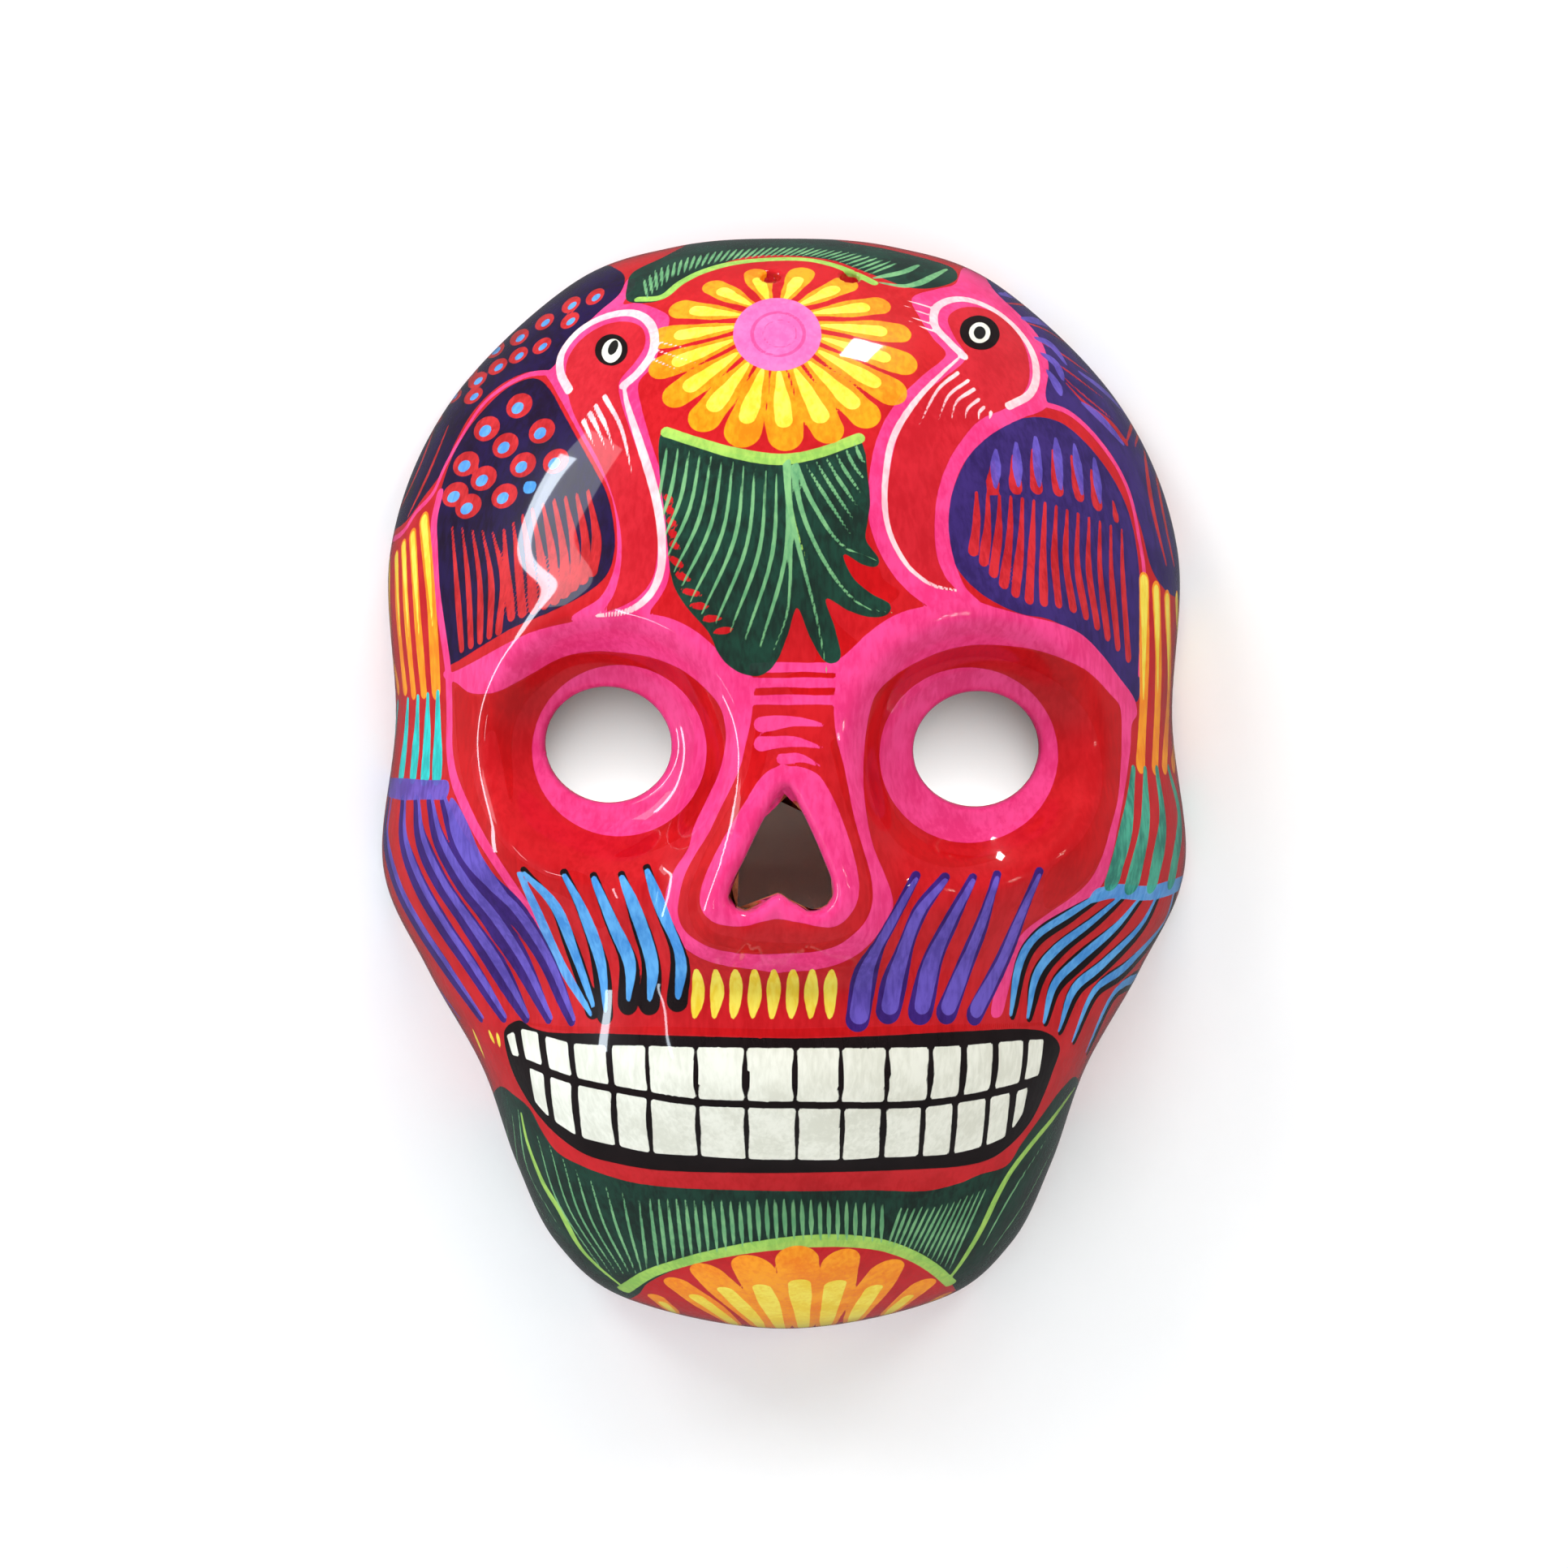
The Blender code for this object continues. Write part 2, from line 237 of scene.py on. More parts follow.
# %% [markdown]
# The three kinds of hole
#
# Each hole is a flat outline pushed straight through the clay: two ovals for the eyes,
# a heart upside down for the nose, and two small circles for the cord, which the
# potter pierced square to the surface. All five are kept in one form, a radius for
# every angle about a centre, so that one function can tell how far any point of the
# clay is from any hole's edge.

# %% holes
HOLE_STEPS = 240
hole_angles = np.linspace(-math.pi, math.pi, HOLE_STEPS, endpoint=False)


def make_hole(name, centre, across, up, radii, rounding):
    """A hole about a centre; radii are its outline's, one for each of hole_angles."""
    across, up = np.array(across, float), np.array(up, float)
    slopes = (np.roll(radii, -1) - np.roll(radii, 1)) / (4 * math.pi / HOLE_STEPS) / radii
    return {"name": name, "centre": np.array(centre, float), "across": across, "up": up,
            "axis": np.cross(across, up), "radii": radii, "slopes": slopes,
            "rounding": rounding}


def oval_radii(width, height):
    return 1.0 / np.hypot(np.sin(hole_angles) / (width / 2), np.cos(hole_angles) / (height / 2))


def outline_to_radii(outline, size):
    path = smooth_path(outline, 12, closed=True) * size
    angles = np.arctan2(path[:, 0], path[:, 1])
    order = np.argsort(angles)
    return np.interp(hole_angles, angles[order], np.hypot(*path.T)[order], period=2 * math.pi)


def polar_about(hole, points):
    """Angle and radius of points about a hole, and how far along its axis they are."""
    offset = points - hole["centre"]
    a = offset @ hole["across"]
    b = offset @ hole["up"]
    return np.arctan2(a, b), np.hypot(a, b), offset @ hole["axis"]


def hole_distance(hole, points):
    """Distance from points to a hole's edge, negative inside the hole."""
    angle, radius, _ = polar_about(hole, points)
    edge = np.interp(angle, hole_angles, hole["radii"], period=2 * math.pi)
    slope = np.interp(angle, hole_angles, hole["slopes"], period=2 * math.pi)
    return (radius - edge) / np.sqrt(1.0 + slope ** 2)


EYE_ROUNDING = 2.0 * MM
NOSE_ROUNDING = 1.8 * MM
face_holes = [
    make_hole("eye_left", (EYE_LEFT[0], 0, EYE_LEFT[1]), (1, 0, 0), (0, 0, 1),
              oval_radii(EYE_HOLE_WIDTH, EYE_HOLE_HEIGHT), EYE_ROUNDING),
    make_hole("eye_right", (EYE_RIGHT[0], 0, EYE_RIGHT[1]), (1, 0, 0), (0, 0, 1),
              oval_radii(EYE_HOLE_WIDTH, EYE_HOLE_HEIGHT), EYE_ROUNDING),
    make_hole("nose", (NOSE_HOLE_CENTRE[0], 0, NOSE_HOLE_CENTRE[1]), (1, 0, 0), (0, 0, 1),
              outline_to_radii(NOSE_HOLE_OUTLINE, (NOSE_HOLE_WIDTH, NOSE_HOLE_HEIGHT)),
              NOSE_ROUNDING),
]
nose_hole = face_holes[2]
print("holes cut along the line of sight:", [hole["name"] for hole in face_holes])


# %% the relief
def socket_relief(x, z):
    """A round hollow about each eye, with a brow along its edge, highest above it."""
    rise = 0.0
    for eye_x, eye_z in (EYE_LEFT, EYE_RIGHT):
        away = np.hypot(x - eye_x, z - eye_z)
        inner = EYE_HOLE_WIDTH / 2
        rise = rise - SOCKET_DEPTH * (1.0 - smooth_step(away, inner, SOCKET_RADIUS + BROW_WIDTH / 2))
        upper = smooth_step(z - eye_z, -0.6 * SOCKET_RADIUS, 0.4 * SOCKET_RADIUS)
        ridge = bell(away - SOCKET_RADIUS - BROW_WIDTH / 2, BROW_WIDTH)
        rise = rise + BROW_RISE * ridge * (0.35 + 0.65 * upper)
    return rise


def nose_relief(x, z):
    """A wedge that widens down to its foot, and a lip round its opening."""
    down = smooth_step(-z, -NOSE_TOP, -NOSE_BOTTOM)
    half_width = NOSE_BRIDGE_HALF_WIDTH + (NOSE_FOOT_HALF_WIDTH - NOSE_BRIDGE_HALF_WIDTH) * down
    across = 1.0 - smooth_step(abs(x), half_width - NOSE_EDGE / 2, half_width + NOSE_EDGE)
    top = smooth_step(-z, -NOSE_TOP - NOSE_EDGE, -NOSE_TOP + 3 * NOSE_EDGE)
    foot = 1.0 - smooth_step(-z, -NOSE_BOTTOM - NOSE_EDGE / 2, -NOSE_BOTTOM + NOSE_EDGE)
    wedge = NOSE_RISE * across * top * foot * (0.55 + 0.45 * down)
    edge = hole_distance(nose_hole, np.stack([x, 0 * x, z], axis=-1))
    lip = NOSE_LIP_RISE * bell(edge - NOSE_ROUNDING, NOSE_LIP_WIDTH)
    return wedge + lip


def lump_relief(x, z):
    rise = 0.0
    for across, up, half_width, half_height, height in LUMPS.values():
        for side in ((1,) if across < 10 else (1, -1)):
            share = ((x / MM - side * across) / half_width) ** 2 + ((z / MM - up) / half_height) ** 2
            rise = rise + height * MM * np.exp(-share)
    return rise


def hand_wobble(x, z):
    """The unevenness that pressing by hand leaves, a fifth of a millimetre or so."""
    a, b = x / MM, z / MM
    slow = np.sin(a / 9.0 + 0.6 * np.sin(b / 13.0)) * np.sin(b / 11.0 + 1.3)
    quick = np.sin(a / 4.6 + b / 6.1 + 0.8) * np.sin(b / 5.2 - a / 9.7)
    return (0.20 * slow + 0.08 * quick) * MM


def face_point(angle, share):
    """The outer surface before its edges are rounded; share is 0 at the middle."""
    radius = level_radius(angle, share)
    x, z = radius * np.sin(angle), radius * np.cos(angle)
    dome = FACE_DEPTH * np.maximum(0.0, 1.0 - share ** PLAN_POWER) ** (1.0 / SIDE_POWER)
    fade = 1.0 - share ** EDGE_FADE_POWER
    features = socket_relief(x, z) + nose_relief(x, z) + lump_relief(x, z) + hand_wobble(x, z)
    return np.stack([x, -(dome + fade * features), z], axis=-1)


# %% [markdown]
# Laying an even net over the face
#
# A net of rings and spokes would crowd in the middle and gape at the rim. Instead a
# square net is pressed into a disc, which keeps its cells nearly the same size, and the
# disc is laid over the face so that steps along it are steps along the clay. A table
# of the distance from the middle, measured over the bumps, makes that possible.

# %% the disc laid over the face
TABLE_ANGLES = 361
TABLE_STEPS = 400
table_angle = np.linspace(-math.pi, math.pi, TABLE_ANGLES)
table_turn = np.linspace(0.0, 1.0, TABLE_STEPS)


def turn_to_share(turn):
    """Even steps of turn crowd towards the rim, where the dome falls steeply."""
    return np.sin(turn * math.pi / 2)


table_points = face_point(table_angle[:, None], turn_to_share(table_turn)[None, :])
table_lengths = np.cumsum(np.linalg.norm(np.diff(table_points, axis=1), axis=2), axis=1)
table_lengths = np.hstack([np.zeros((TABLE_ANGLES, 1)), table_lengths])
way_length = table_lengths[:, -1]
turn_at = np.array([np.interp(table_turn * total, lengths, table_turn)
                    for total, lengths in zip(way_length, table_lengths)])
print("over the clay from the middle to the rim, mm:",
      round(way_length.min() / MM), "to", round(way_length.max() / MM))


def on_face(disc_x, disc_y):
    """The face's angle and turn for points of the unit disc."""
    angle = np.arctan2(disc_x, disc_y)
    far = np.clip(np.hypot(disc_x, disc_y), 0.0, 1.0)
    column = (angle + math.pi) / (2 * math.pi) * (TABLE_ANGLES - 1)
    row = far * (TABLE_STEPS - 1)
    c = np.clip(column.astype(int), 0, TABLE_ANGLES - 2)
    r = np.clip(row.astype(int), 0, TABLE_STEPS - 2)
    s, t = column - c, row - r
    turn = ((1 - s) * (1 - t) * turn_at[c, r] + s * (1 - t) * turn_at[c + 1, r]
            + (1 - s) * t * turn_at[c, r + 1] + s * t * turn_at[c + 1, r + 1])
    return angle, turn


def clay_point(disc_x, disc_y):
    angle, turn = on_face(disc_x, disc_y)
    return face_point(angle, turn_to_share(turn))


def disc_grid(count):
    """A square net of points pressed into the unit disc."""
    side = np.linspace(-1.0, 1.0, count)
    a, b = np.meshgrid(side, side, indexing="ij")
    wide = np.abs(a) > np.abs(b)
    far = np.where(wide, a, b)
    safe = np.where(far == 0, 1.0, far)
    bend = math.pi / 4 * np.where(wide, b / safe, a / safe)
    x = np.where(wide, far * np.cos(bend), far * np.sin(bend))
    y = np.where(wide, far * np.sin(bend), far * np.cos(bend))
    return x, y


def disc_to_grid(x, y, count):
    """Where points of the disc lie in the square net, in cells."""
    wide = np.abs(x) > np.abs(y)
    longer = np.where(wide, x, y)
    shorter = np.where(wide, y, x)
    far = np.hypot(x, y) * np.where(longer < 0, -1.0, 1.0)
    bend = np.arctan(shorter / np.where(longer == 0, 1.0, longer))
    near = far * bend * 4 / math.pi
    a = np.where(wide, far, near)
    b = np.where(wide, near, far)
    return (a + 1) / 2 * (count - 1), (b + 1) / 2 * (count - 1)


# %% [markdown]
# The mesh of the shell
#
# The painted side gets a net of about half a millimetre, fine enough to carry the
# painting as numbers on its points. The bare inside gets a net twice as coarse,
# one wall's thickness behind it. Cutting with booleans would leave slivers that show
# in a glossy skin, so the points just inside each hole are moved onto its edge
# instead, the cells within are left out, and the two skins are zipped together there
# and all round the rim.

# %% the two nets
FINE = 457
COARSE = 229
RIM_ROUNDING = 1.3 * MM
FINGER_DEPTH = 0.45 * MM        # marks of the potter's fingers on the inside

fine_x, fine_y = disc_grid(FINE)
skin = clay_point(fine_x, fine_y)
coarse_x, coarse_y = disc_grid(COARSE)
coarse_angle, coarse_turn = on_face(coarse_x, coarse_y)


def outward_normals(angle, turn):
    """Normals of the face by small steps round and towards the middle."""
    step = 0.004
    turn = np.maximum(turn, 3 * step)
    here = face_point(angle, turn_to_share(turn))
    across = face_point(angle + step, turn_to_share(turn)) - face_point(
        angle - step, turn_to_share(turn))
    inward = face_point(angle, turn_to_share(turn - step)) - here
    normal = np.cross(inward, across)
    return normal / np.linalg.norm(normal, axis=-1, keepdims=True)


lining = clay_point(coarse_x, coarse_y)
lining_normals = outward_normals(coarse_angle, coarse_turn)
print("normals face out:", bool(lining_normals[COARSE // 2, COARSE // 2, 1] < 0))

# %% two more holes, square to the clay
hanging_holes = []
for side, name in ((-1, "hanging_left"), (1, "hanging_right")):
    wanted = np.array([HANGING_HOLE_MIDDLE + side * HANGING_HOLE_SPACING / 2, HANGING_HOLE_HEIGHT])
    miss = np.linalg.norm(lining[..., [0, 2]] - wanted, axis=-1)
    row, column = np.unravel_index(np.argmin(miss), miss.shape)
    outward = lining_normals[row, column]
    across = np.cross(outward, (0, 0, 1))
    across /= np.linalg.norm(across)
    centre = lining[row, column].copy()
    radii = np.full(HOLE_STEPS, HANGING_HOLE_DIAMETER / 2)
    hanging_holes.append(make_hole(name, centre, across, np.cross(across, outward), radii,
                                   0.7 * MM))
    print(name, "at, mm:", np.round(centre / MM, 1))
holes = face_holes + hanging_holes


# %% rounding the edges and opening the holes
def quarter_round(distance, radius):
    """How far a rounded edge falls back, for points at a distance from the edge."""
    near = np.clip(radius - distance, 0.0, radius)
    return radius - np.sqrt(radius ** 2 - near ** 2)


def near_axis(hole, points):
    """The hanging holes only cut the clay around them, not what lies further along."""
    _, _, along = polar_about(hole, points)
    return np.abs(along) < 14 * MM if hole in hanging_holes else np.full(along.shape, True)


def open_hole(hole, net, inward):
    """Rounds a net's edge at a hole and moves the points within onto its outline.
    Returns which points lay inside."""
    distance = hole_distance(hole, net)
    reach = near_axis(hole, net)
    inside = (distance < 0) & reach
    angle, radius, along = polar_about(hole, net)
    edge = np.interp(angle, hole_angles, hole["radii"], period=2 * math.pi)
    spread = np.where(inside, edge, radius)
    moved = (hole["centre"] + spread[..., None] * (np.sin(angle)[..., None] * hole["across"]
                                                    + np.cos(angle)[..., None] * hole["up"])
             + along[..., None] * hole["axis"])
    fall = quarter_round(np.where(inside, 0.0, distance), hole["rounding"]) * inward
    moved = moved + fall[..., None] * hole["axis"]
    touched = reach & (distance < hole["rounding"])
    net[touched] = moved[touched]
    return inside


for hole in holes:      # the axis of every hole points into the hollow
    if hole["axis"][1] < 0:
        hole["across"] = -hole["across"]
        hole["axis"] = -hole["axis"]
        hole["radii"] = np.roll(hole["radii"][::-1], 1)
        hole["slopes"] = -np.roll(hole["slopes"][::-1], 1)

lining_x, lining_z = lining[..., 0] / MM, lining[..., 2] / MM
fingers = (np.sin(lining_x / 5.2 + np.sin(lining_z / 8.0)) * np.sin(lining_z / 7.1 + 0.5)
           + 0.5 * np.sin(lining_x / 2.9 - lining_z / 4.3))
edge_share = np.hypot(coarse_x, coarse_y)
fingers = fingers * (1 - edge_share ** 12)
lining = lining - lining_normals * (WALL + FINGER_DEPTH * fingers[..., None])
lining[edge_share > 0.9999, 1] = 0.0

fine_open = np.zeros((FINE, FINE), bool)
coarse_open = np.zeros((COARSE, COARSE), bool)
for hole in holes:
    fine_open |= open_hole(hole, skin, 1.0)
    coarse_open |= open_hole(hole, lining, -1.0)
rim_height = -skin[..., 1]
pull = quarter_round(rim_height, RIM_ROUNDING)
flat = np.hypot(skin[..., 0], skin[..., 2])
skin[..., 0] *= 1 - pull / np.maximum(flat, MM)
skin[..., 2] *= 1 - pull / np.maximum(flat, MM)
print("points of the painted net inside holes:", int(fine_open.sum()))


# %% zipping the two nets into one shell
def net_faces(count, opened, start):
    """The net's quads, without those whose four corners all lie in a hole."""
    index = np.arange(count * count).reshape(count, count) + start
    quads = np.stack([index[:-1, :-1], index[1:, :-1], index[1:, 1:], index[:-1, 1:]], axis=-1)
    gone = (opened[:-1, :-1] & opened[1:, :-1] & opened[1:, 1:] & opened[:-1, 1:])
    pinch = gone[:-1, :-1] & gone[1:, 1:] & ~gone[1:, :-1] & ~gone[:-1, 1:]
    gone[1:, :-1] |= pinch          # two openings that meet at a corner become one
    pinch = gone[1:, :-1] & gone[:-1, 1:] & ~gone[:-1, :-1] & ~gone[1:, 1:]
    gone[:-1, :-1] |= pinch
    return quads[~gone]


def open_loops(quads):
    """Closed walks along the edges that only one quad uses."""
    edges = np.vstack([quads[:, [k, (k + 1) % 4]] for k in range(4)])
    keys = np.sort(edges, axis=1)
    _, first, counts = np.unique(keys, axis=0, return_index=True, return_counts=True)
    follow = {int(a): int(b) for a, b in edges[first[counts == 1]]}
    loops = []
    while follow:
        start, here = follow.popitem()
        walk = [start]
        while here != start:
            walk.append(here)
            here = follow.pop(here)
        loops.append(np.array(walk))
    return loops


def wound(loop, angles):
    """A loop turned to run with rising angles, which are kept from falling back."""
    angles = np.unwrap(angles)
    if angles[-1] < angles[0]:
        loop, angles = loop[::-1], angles[::-1]
    first = int(np.argmin(np.abs((angles + math.pi) % (2 * math.pi) - math.pi)))
    loop = np.roll(loop, -first)
    angles = np.roll(angles, -first)
    angles[len(angles) - first:] += 2 * math.pi
    angles = angles - 2 * math.pi * round(angles[0] / (2 * math.pi))
    return loop, np.maximum.accumulate(angles)


def zip_loops(a, at_a, b, at_b):
    """Triangles between two closed loops, both given with their rising angles, and each
    corner's place on a strip: its share of the way round, and 0 or 1 across."""
    at_a = np.append(at_a, at_a[0] + 2 * math.pi)
    at_b = np.append(at_b, at_b[0] + 2 * math.pi)
    i = j = 0
    faces, strip = [], []
    while i < len(a) or j < len(b):
        here_a, here_b = a[i % len(a)], b[j % len(b)]
        if j >= len(b) or (i < len(a) and at_a[i + 1] <= at_b[j + 1]):
            faces.append((here_a, a[(i + 1) % len(a)], here_b))
            strip.append(((i / len(a), 0), ((i + 1) / len(a), 0), (j / len(b), 1)))
            i += 1
        else:
            faces.append((here_a, b[(j + 1) % len(b)], here_b))
            strip.append(((i / len(a), 0), ((j + 1) / len(b), 1), (j / len(b), 1)))
            j += 1
    return faces, strip


points = np.vstack([skin.reshape(-1, 3), lining.reshape(-1, 3)])
skin_quads = net_faces(FINE, fine_open, 0)
lining_quads = net_faces(COARSE, coarse_open, FINE * FINE)
middle = make_hole("rim", (0, 0, 0), (1, 0, 0), (0, 0, 1), np.full(HOLE_STEPS, 0.1), 0.0)


def loop_home(loop):
    """The hole that a loop runs round, or the middle of the face for the rim."""
    if np.ptp(points[loop, 2]) > MASK_HEIGHT / 2:
        return middle
    centre = points[loop].mean(axis=0)
    return min(holes, key=lambda hole: polar_about(hole, centre)[1])


zipped, strips, strips_done = [], [], []
skin_loops = {loop_home(loop)["name"]: loop for loop in open_loops(skin_quads)}
lining_loops = {loop_home(loop)["name"]: loop for loop in open_loops(lining_quads)}
for hole in holes + [middle]:
    sides = []
    for loop in (skin_loops[hole["name"]], lining_loops[hole["name"]]):
        sides += wound(loop, polar_about(hole, points[loop])[0])
    faces, strip = zip_loops(*sides)
    zipped += faces
    strips += [[(along, len(strips_done) + across) for along, across in corners]
               for corners in strip]
    strips_done.append(hole["name"])
print("zipped triangles:", len(zipped))

# %% [markdown]
# Painting on a net of numbers
#
# No picture is wrapped round the mask. Each colour of paint is one number on every
# point of the painted net: the distance to the nearest edge of that paint, positive
# where the paint lies. The material later turns each colour on where its number is
# above zero, so an edge stays crisp between the points, as a contour line does on a
# map.
#
# A stroke is given like a brush stroke: a few places that it passes, its width and how
# the brush was pressed along the way. Its distance is measured over the clay in three
# dimensions, so a stroke keeps its width where the face turns away. A patch is a
# filled outline.

# %% the painter's layers
# From the first coat to the last; a later one covers an earlier one.
# The first layer is painted shade: a darker red laid in the hollows where less light falls.
LAYERS = [
    "painted_shade_red", "navy", "plum", "red_feather", "pink", "red_shape", "green", "red_top", "lime",
    "leaf_hair", "orange", "yellow", "black", "sky", "teal", "turquoise", "indigo", "lavender",
    "blush", "rose_top", "rose_line", "enamel", "black_top",
]
REACH = 1.6 * MM                # distances are kept up to this far from an edge
CELL = 0.45 * MM                # a low estimate of the net's spacing
layers = {name: np.full((FINE, FINE), -REACH) for name in LAYERS}
stroke_count = 0

# %% throwing the painter's places onto the clay
coarse_index = np.arange(COARSE * COARSE).reshape(COARSE, COARSE)
sight_faces = np.stack([coarse_index[:-1, :-1], coarse_index[1:, :-1],
                        coarse_index[1:, 1:], coarse_index[:-1, 1:]], axis=-1).reshape(-1, 4)
sight_points = [Vector(p) for p in clay_point(coarse_x, coarse_y).reshape(-1, 3)]
sight_disc = np.stack([coarse_x.ravel(), coarse_y.ravel()], axis=-1)
sight_tree = BVHTree.FromPolygons(sight_points, sight_faces.tolist())
WRAP = 1.6                      # how fast a place past the silhouette runs to the rim


def look_at(across, up):
    """Where a line of sight meets the clay, as a place in the disc, or None."""
    aim = TARGET + (seen_right * across + seen_up * up) * MM
    hit = sight_tree.ray_cast(viewer, (aim - viewer).normalized())
    if hit[0] is None:
        return None
    corners = sight_faces[hit[2]]
    weights = poly_3d_calc([sight_points[k] for k in corners], hit[0])
    return np.array(weights) @ sight_disc[corners]


def onto_disc(places):
    """Seen places, in millimetres, as places in the disc. One past the silhouette
    goes on round the side of the mask towards the rim."""
    found = []
    for across, up in places:
        spot = look_at(across, up)
        if spot is None:
            low, high = 0.0, 1.0
            for _ in range(12):
                middle_share = (low + high) / 2
                if look_at(across * middle_share, up * middle_share) is None:
                    high = middle_share
                else:
                    low = middle_share
            limb = look_at(across * low, up * low)
            past = math.hypot(across, up) * (1 - low)
            far = np.hypot(*limb)
            spot = limb / far * min(1.0, far + past * WRAP * MM / way_length.mean())
        found.append(spot)
    return np.array(found)


# %% measuring distances over the clay
def window(disc, margin):
    """The block of the painted net around some places of the disc."""
    rows, columns = disc_to_grid(disc[:, 0], disc[:, 1], FINE)
    extra = int(margin / CELL) + 3
    low = max(0, int(rows.min()) - extra), max(0, int(columns.min()) - extra)
    high = min(FINE, int(rows.max()) + extra + 2), min(FINE, int(columns.max()) + extra + 2)
    return slice(low[0], high[0]), slice(low[1], high[1])


def to_line(net, line, radii):
    """Distance from a net's points to a line with a thickness, negative within it."""
    nearest = np.full(net.shape[:2], 1.0)
    for start, end, r_start, r_end in zip(line, line[1:], radii, radii[1:]):
        run = end - start
        length = run @ run
        if length < 1e-16:
            continue
        share = np.clip((net - start) @ run / length, 0.0, 1.0)
        gap = np.linalg.norm(net - (start + share[..., None] * run), axis=-1)
        nearest = np.minimum(nearest, gap - (r_start + (r_end - r_start) * share))
    return nearest


def within(disc_line, block):
    """Which points of the net lie inside a closed line of the disc."""
    x, y = fine_x[block], fine_y[block]
    inside = np.zeros(x.shape, bool)
    for (ax, ay), (bx, by) in zip(disc_line, np.roll(disc_line, -1, axis=0)):
        if ay != by:
            crosses = (ay > y) != (by > y)
            inside ^= crosses & (x < (bx - ax) * (y - ay) / (by - ay) + ax)
    return inside


def lay(name, block, depth):
    layers[name][block] = np.maximum(layers[name][block], np.clip(depth, -REACH, REACH))


# %% the brush
BRUSHES = {
    "even": lambda t: np.ones_like(t),
    "taper": lambda t: 1.0 - 0.85 * t ** 1.6,
    "leaf": lambda t: 0.12 + 0.88 * np.sin(math.pi * np.clip(0.06 + 0.88 * t, 0, 1)) ** 0.8,
    "drop": lambda t: 0.25 + 0.75 * np.clip(t * 1.25, 0, 1) ** 0.9,
    "petal": lambda t: 0.34 + 0.66 * np.sin(math.pi / 2 * np.clip(t * 1.12, 0, 1)) ** 1.3,
}


def stroke(layer, places, width, brush="leaf", steps=5, closed=False):
    """One brush stroke through some seen places; the width is in millimetres."""
    global stroke_count
    stroke_count += 1
    path = smooth_path(places, steps, closed)
    if closed:
        path = np.vstack([path, path[0]])
    disc = onto_disc(path)
    line = clay_point(disc[:, 0], disc[:, 1])
    way = np.append(0.0, np.cumsum(np.linalg.norm(np.diff(line, axis=0), axis=1)))
    t = way / max(way[-1], 1e-9)
    shake = 1 + 0.07 * np.sin(stroke_count * 2.4 + 9 * t) if not closed else np.ones_like(t)
    radii = width * MM / 2 * BRUSHES[brush](t) * shake
    block = window(disc, radii.max() + REACH)
    lay(layer, block, -to_line(skin[block], line, radii))


def patch(layer, places, steps=5, grow=0.0):
    """A filled shape with a smooth outline through some seen places."""
    disc = onto_disc(smooth_path(places, steps, closed=True))
    ring = np.vstack([disc, disc[0]])
    line = clay_point(ring[:, 0], ring[:, 1])
    block = window(disc, REACH)
    gap = to_line(skin[block], line, np.zeros(len(line)))
    lay(layer, block, np.where(within(disc, block), gap, -gap) + grow * MM)


def evenly(line, count):
    """Places at even steps along a smooth line."""
    path = smooth_path(line, 12)
    way = np.append(0.0, np.cumsum(np.linalg.norm(np.diff(path, axis=0), axis=1)))
    at = np.linspace(0, way[-1], count)
    return np.stack([np.interp(at, way, path[:, k]) for k in (0, 1)], axis=-1)


def comb(layer, lines, count, width, brush="leaf", ragged=0.0, shift=(0.0, 0.0)):
    """A row of strokes that run from the first of some lines over the next ones to the
    last; ragged shortens some of them."""
    rows = np.stack([evenly(line, count) for line in lines], axis=1) + shift
    for k, places in enumerate(rows):
        cut = ragged * (0.5 + 0.5 * math.sin(2.4 * k))
        places[-1] += (places[-2] - places[-1]) * cut
        stroke(layer, places, width, brush)


def oval(centre, width, height, turn=0.0, count=10):
    """Places round an oval."""
    angles = np.arange(count) * 2 * math.pi / count
    x, y = width / 2 * np.cos(angles), height / 2 * np.sin(angles)
    c, s = math.cos(math.radians(turn)), math.sin(math.radians(turn))
    return [(centre[0] + a * c - b * s, centre[1] + a * s + b * c) for a, b in zip(x, y)]

# %% [markdown]
# The wings
#
# The painter blocked in both wings in a dark colour first, midnight blue on one side
# and plum on the other, and then laid red feathers and light spots on top. The same
# order is kept here. Places are in millimetres from the origin of the frame, to the
# right and up, as seen from the front. Places past the outline run on round the side.

# %% the wings on the left of the picture
patch("navy", [(-35.4, 110.9), (-38.5, 106.2), (-43.5, 102.5), (-48.5, 97.5), (-51.6, 92),
    (-57.1, 91.3), (-63.3, 88.2), (-68.9, 82.7), (-72.9, 75.8), (-76, 69), (-79.8, 63.8),
    (-85, 57.2), (-91.8, 55.4), (-93.1, 74), (-88.1, 93.8), (-78.2, 106.2), (-64.6, 114.9),
    (-49.7, 117.4), (-37.3, 114.3)])
patch("navy", [(-55.6, 90), (-52.2, 87.9), (-48.8, 82), (-45.4, 75.8), (-41.6, 69), (-39.2, 64.1),
    (-37.8, 57.9), (-37.6, 51.7), (-39.5, 46.1), (-44.7, 41.8), (-52.2, 38), (-59.6, 34.9),
    (-67, 30.6), (-73.2, 26.8), (-75.1, 26.9), (-75.7, 34.3), (-76.7, 43), (-77.3, 52.3),
    (-77, 61), (-74.5, 70.3), (-70.8, 77.7), (-65.8, 83.9), (-60.8, 88.2)])
